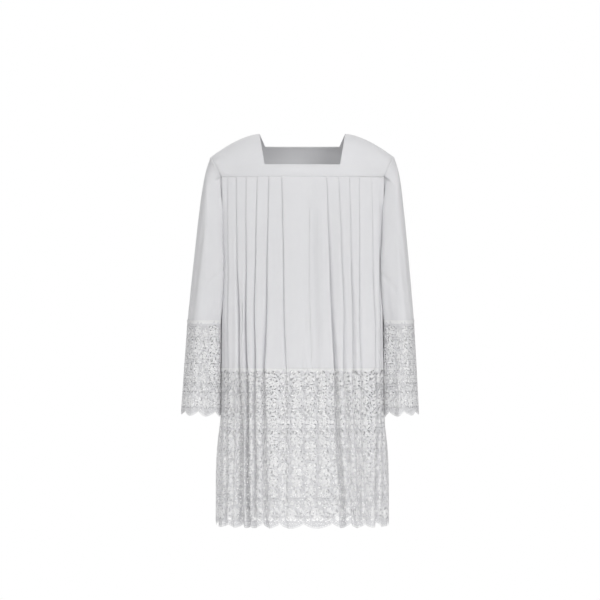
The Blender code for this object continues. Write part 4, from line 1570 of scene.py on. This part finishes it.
def place_sewing(look):
    """Stitch lines along the yoke seam, the neckline, the armholes and the headings of
    the lace."""
    yoke, lace = [], []
    points = ROW_POINTS
    across = np.concatenate([np.linspace(-1, 0, points), np.linspace(0, 1, points)[1:]])
    inwards = np.linspace(NECK_SIDE_SHARE, -1, points)[1:]
    beside_neck = np.concatenate([np.full(points, NECK_SIDE_SHARE), inwards])
    for face in OUTWARD:
        for depth in YOKE_ROWS:
            yoke += yoke_line(face, across, np.full(len(across), depth))
        edge = NECK_DEPTHS[face] + NECK_ROW
        down = np.linspace(NECK_ROW_TOP, edge, points)
        depth = np.concatenate([down, np.full(len(inwards), edge)])
        yoke += yoke_line(face, beside_neck, depth)
        lace.append(heading_row(face, look))
    for side in SIGN:
        for face in OUTWARD:
            grid, normals = cuff_grid(side, face)
            row = grid[0] + [0, 0, HEADING_ROW] + normals[0] * HEADING_ROW_LIFT
            lace.append((row, normals[0]))
        yoke.append(armhole_row(side, look))
    sew("yoke_and_armhole_sewing", yoke, look)
    sew("lace_sewing", lace, look)


# Stage


def place_floor(stage):
    """A pale round floor: rings of points round a middle disc, at even angles."""
    radius, angle = np.meshgrid(
        np.linspace(FLOOR_MIDDLE, 1, FLOOR_RINGS) * stage.floor_radius,
        np.arange(FLOOR_SPOKES) * 2 * math.pi / FLOOR_SPOKES,
        indexing="ij",
    )
    height = np.full(radius.shape, stage.floor_height)
    points = np.stack([radius * np.cos(angle), radius * np.sin(angle), height], axis=2)
    faces = grid_faces(FLOOR_RINGS, FLOOR_SPOKES, flip=True, closed=True).tolist()
    mesh = bpy.data.meshes.new("studio_floor")
    mesh.from_pydata(points.reshape(-1, 3).tolist(), [], [*faces, list(range(FLOOR_SPOKES))])
    mesh.materials.append(painted_floor(stage))
    floor = bpy.data.objects.new("studio_floor", mesh)
    bpy.context.scene.collection.objects.link(floor)


def place_surround(stage):
    """A white page behind, and a soft light from all round, stronger from above."""
    world = bpy.data.worlds.new("white_surround")
    world.use_nodes = True
    tree = world.node_tree
    tree.nodes.clear()
    seen = add_node(tree, "ShaderNodeLightPath").outputs["Is Camera Ray"]
    place = add_node(tree, "ShaderNodeTexCoord").outputs["Generated"]
    height = add_node(tree, "ShaderNodeSeparateXYZ", links={"Vector": place}).outputs["Z"]
    smooth = {"interpolation_type": "SMOOTHSTEP"}
    limits = {"From Min": -0.5, "From Max": 0.5, "To Min": 0.25, "To Max": 1.0}
    sky = add_node(tree, "ShaderNodeMapRange", smooth, limits, {"Value": height})
    times = {"operation": "MULTIPLY"}
    sky = sky.outputs["Result"]
    power = add_node(tree, "ShaderNodeMath", times, {1: stage.surround}, {0: sky})
    white = {"Color": (1, 1, 1, 1), "Strength": 1.0}
    strength = {"Strength": power.outputs["Value"]}
    glow = add_node(tree, "ShaderNodeBackground", values=white, links=strength)
    page = add_node(tree, "ShaderNodeBackground", values=white)
    links = {0: seen, 1: glow.outputs["Background"], 2: page.outputs["Background"]}
    either = add_node(tree, "ShaderNodeMixShader", links=links)
    add_node(tree, "ShaderNodeOutputWorld", links={"Surface": either.outputs["Shader"]})
    bpy.context.scene.world = world
    bpy.context.scene.view_settings.view_transform = "Standard"


def place_lights(stage):
    """Round soft lights, turned to the middle of the garment."""
    for name, place, size, power in LIGHTS:
        lamp = bpy.data.lights.new(name, "AREA")
        lamp.shape, lamp.size, lamp.energy = "DISK", size, power * stage.light_strength
        obj = bpy.data.objects.new(name, lamp)
        obj.location = place
        aim = LIGHTS_AIM - Vector(place)
        obj.rotation_euler = aim.to_track_quat("-Z", "Y").to_euler()
        bpy.context.scene.collection.objects.link(obj)


def place_camera():
    """A level camera in front, its view as wide as VIEW_WIDTH at the garment."""
    lens = bpy.data.cameras.new("camera")
    lens.sensor_width = SENSOR_MM
    lens.lens = SENSOR_MM * CAMERA_DISTANCE / VIEW_WIDTH
    lens.clip_start, lens.clip_end = CAMERA_SEES
    camera = bpy.data.objects.new("camera", lens)
    camera.location = (CAMERA_AIM[0], -CAMERA_DISTANCE, CAMERA_AIM[1])
    camera.rotation_euler = (math.pi / 2, 0, 0)
    bpy.context.scene.collection.objects.link(camera)
    bpy.context.scene.camera = camera


# What a user can change


class SurpliceCloth(bpy.types.PropertyGroup):
    """Sizes and colours of the cloth, the lace and the thread."""

    cotton_wall: bpy.props.FloatProperty(
        name="Cotton thickness", description="Wall of the plain cloth",
        default=0.0006, min=0.0002, max=0.002, unit="LENGTH",
    )
    fold_sway: bpy.props.FloatProperty(
        name="Fold sway", description="How far the long folds wander sideways",
        default=0.0012, min=0, max=0.004, unit="LENGTH",
    )
    flutter: bpy.props.FloatProperty(
        name="Flutter", description="Slow unevenness of the hanging cloth",
        default=0.0016, min=0, max=0.005, unit="LENGTH",
    )
    stitch_length: bpy.props.FloatProperty(
        name="Stitch length", description="Length of one stitch",
        default=0.0024, min=0.001, max=0.006, unit="LENGTH",
    )
    stitch_space: bpy.props.FloatProperty(
        name="Stitch space", description="Space between two stitches",
        default=0.0010, min=0.0004, max=0.006, unit="LENGTH",
    )
    stitch_width: bpy.props.FloatProperty(
        name="Thread thickness", description="Thickness of the sewing thread",
        default=0.0006, min=0.0002, max=0.0015, unit="LENGTH",
    )
    cotton_light: bpy.props.StringProperty(
        name="Cotton", description="Light tone of the cloth, sRGB hex", default="#E9E9EB",
    )
    cotton_shade: bpy.props.StringProperty(
        name="Cotton shade", description="Darker tone of the cloth", default="#E5E5E8",
    )
    lace_light: bpy.props.StringProperty(
        name="Lace", description="Light tone of the lace, sRGB hex", default="#F3F3F3",
    )
    # The lace's darker tone lies in the low parts between its bundles of thread: painted shade.
    lace_groove_painted_shade: bpy.props.StringProperty(
        name="Lace shade", description="Darker tone of the lace's stitching", default="#EBEBEC",
    )
    # Both tones of the net are painted darker than the lace: painted shade for the shaded inside
    # seen through it.
    net_painted_shade_light: bpy.props.StringProperty(
        name="Net", description="Light tone of the lace's ground", default="#E3E3E5",
    )
    net_painted_shade_dark: bpy.props.StringProperty(
        name="Net shade", description="Darker tone of the lace's ground", default="#DADADC",
    )
    thread_light: bpy.props.StringProperty(
        name="Thread", description="Light tone of the thread", default="#F0F0EE",
    )
    thread_shade: bpy.props.StringProperty(
        name="Thread shade", description="Darker tone of the thread", default="#E2E2DF",
    )


class SurpliceStage(bpy.types.PropertyGroup):
    """Sizes and strengths of the stage."""

    floor_height: bpy.props.FloatProperty(
        name="Floor height", description="Height of the floor below the shoulders",
        default=-1.50, max=-1.05, unit="LENGTH",
    )
    floor_radius: bpy.props.FloatProperty(
        name="Floor radius", description="Radius of the floor",
        default=2.9, min=1, unit="LENGTH",
    )
    floor_colour: bpy.props.StringProperty(
        name="Floor colour", description="Paint of the floor, sRGB hex", default="#F7F7F7",
    )
    surround: bpy.props.FloatProperty(
        name="Surround", description="Strength of the light from all round",
        default=0.36, min=0,
    )
    light_strength: bpy.props.FloatProperty(
        name="Lights", description="Strength of the soft lights", default=1.0, min=0,
    )


# One operator for each group of pieces and one for the stage


class SURPLICE_OT_yokes(bpy.types.Operator):
    """Lay both yokes over the shoulders"""

    bl_idname = "surplice.yokes"
    bl_label = "Yokes"

    def execute(self, context):
        place_yokes(context.scene.surplice_cloth)
        return {"FINISHED"}


class SURPLICE_OT_body(bpy.types.Operator):
    """Hang the pleated body"""

    bl_idname = "surplice.body"
    bl_label = "Pleated body"

    def execute(self, context):
        place_body(context.scene.surplice_cloth)
        return {"FINISHED"}


class SURPLICE_OT_hem_lace(bpy.types.Operator):
    """Hang the deep lace under the body"""

    bl_idname = "surplice.hem_lace"
    bl_label = "Hem lace"

    def execute(self, context):
        place_hem_lace(context.scene.surplice_cloth)
        return {"FINISHED"}


class SURPLICE_OT_sleeves(bpy.types.Operator):
    """Hang both sleeves"""

    bl_idname = "surplice.sleeves"
    bl_label = "Sleeves"

    def execute(self, context):
        place_sleeves(context.scene.surplice_cloth)
        return {"FINISHED"}


class SURPLICE_OT_cuff_lace(bpy.types.Operator):
    """Hang the lace of both cuffs"""

    bl_idname = "surplice.cuff_lace"
    bl_label = "Cuff lace"

    def execute(self, context):
        place_cuff_lace(context.scene.surplice_cloth)
        return {"FINISHED"}


class SURPLICE_OT_sewing(bpy.types.Operator):
    """Sew the seams and the neckline"""

    bl_idname = "surplice.sewing"
    bl_label = "Sewing"

    def execute(self, context):
        place_sewing(context.scene.surplice_cloth)
        return {"FINISHED"}


class SURPLICE_OT_stage(bpy.types.Operator):
    """Set the floor, the lights and the camera"""

    bl_idname = "surplice.stage"
    bl_label = "Stage"

    def execute(self, context):
        stage = context.scene.surplice_stage
        place_floor(stage)
        place_surround(stage)
        place_lights(stage)
        place_camera()
        return {"FINISHED"}


OPERATORS = (
    SURPLICE_OT_yokes,
    SURPLICE_OT_body,
    SURPLICE_OT_sleeves,
    SURPLICE_OT_hem_lace,
    SURPLICE_OT_cuff_lace,
    SURPLICE_OT_sewing,
    SURPLICE_OT_stage,
)


class SURPLICE_PT_pieces(bpy.types.Panel):
    """The pieces and the stage, in the order they are made."""

    bl_label = "Surplice"
    bl_idname = "SURPLICE_PT_pieces"
    bl_space_type = "VIEW_3D"
    bl_region_type = "UI"
    bl_category = "Surplice"

    def draw(self, context):
        for operator in OPERATORS:
            self.layout.operator(operator.bl_idname)
        for group in (context.scene.surplice_cloth, context.scene.surplice_stage):
            box = self.layout.box()
            for key in group.__annotations__:
                box.prop(group, key)


CLASSES = (SurpliceCloth, SurpliceStage, *OPERATORS, SURPLICE_PT_pieces)


def register():
    for made in CLASSES:
        bpy.utils.register_class(made)
    bpy.types.Scene.surplice_cloth = bpy.props.PointerProperty(type=SurpliceCloth)
    bpy.types.Scene.surplice_stage = bpy.props.PointerProperty(type=SurpliceStage)


def unregister():
    del bpy.types.Scene.surplice_stage
    del bpy.types.Scene.surplice_cloth
    for made in reversed(CLASSES):
        bpy.utils.unregister_class(made)


def main():
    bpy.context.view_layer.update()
    register()
    for operator in OPERATORS:
        group, name = operator.bl_idname.split(".")
        getattr(getattr(bpy.ops, group), name)()


if __name__ == "__main__":
    main()
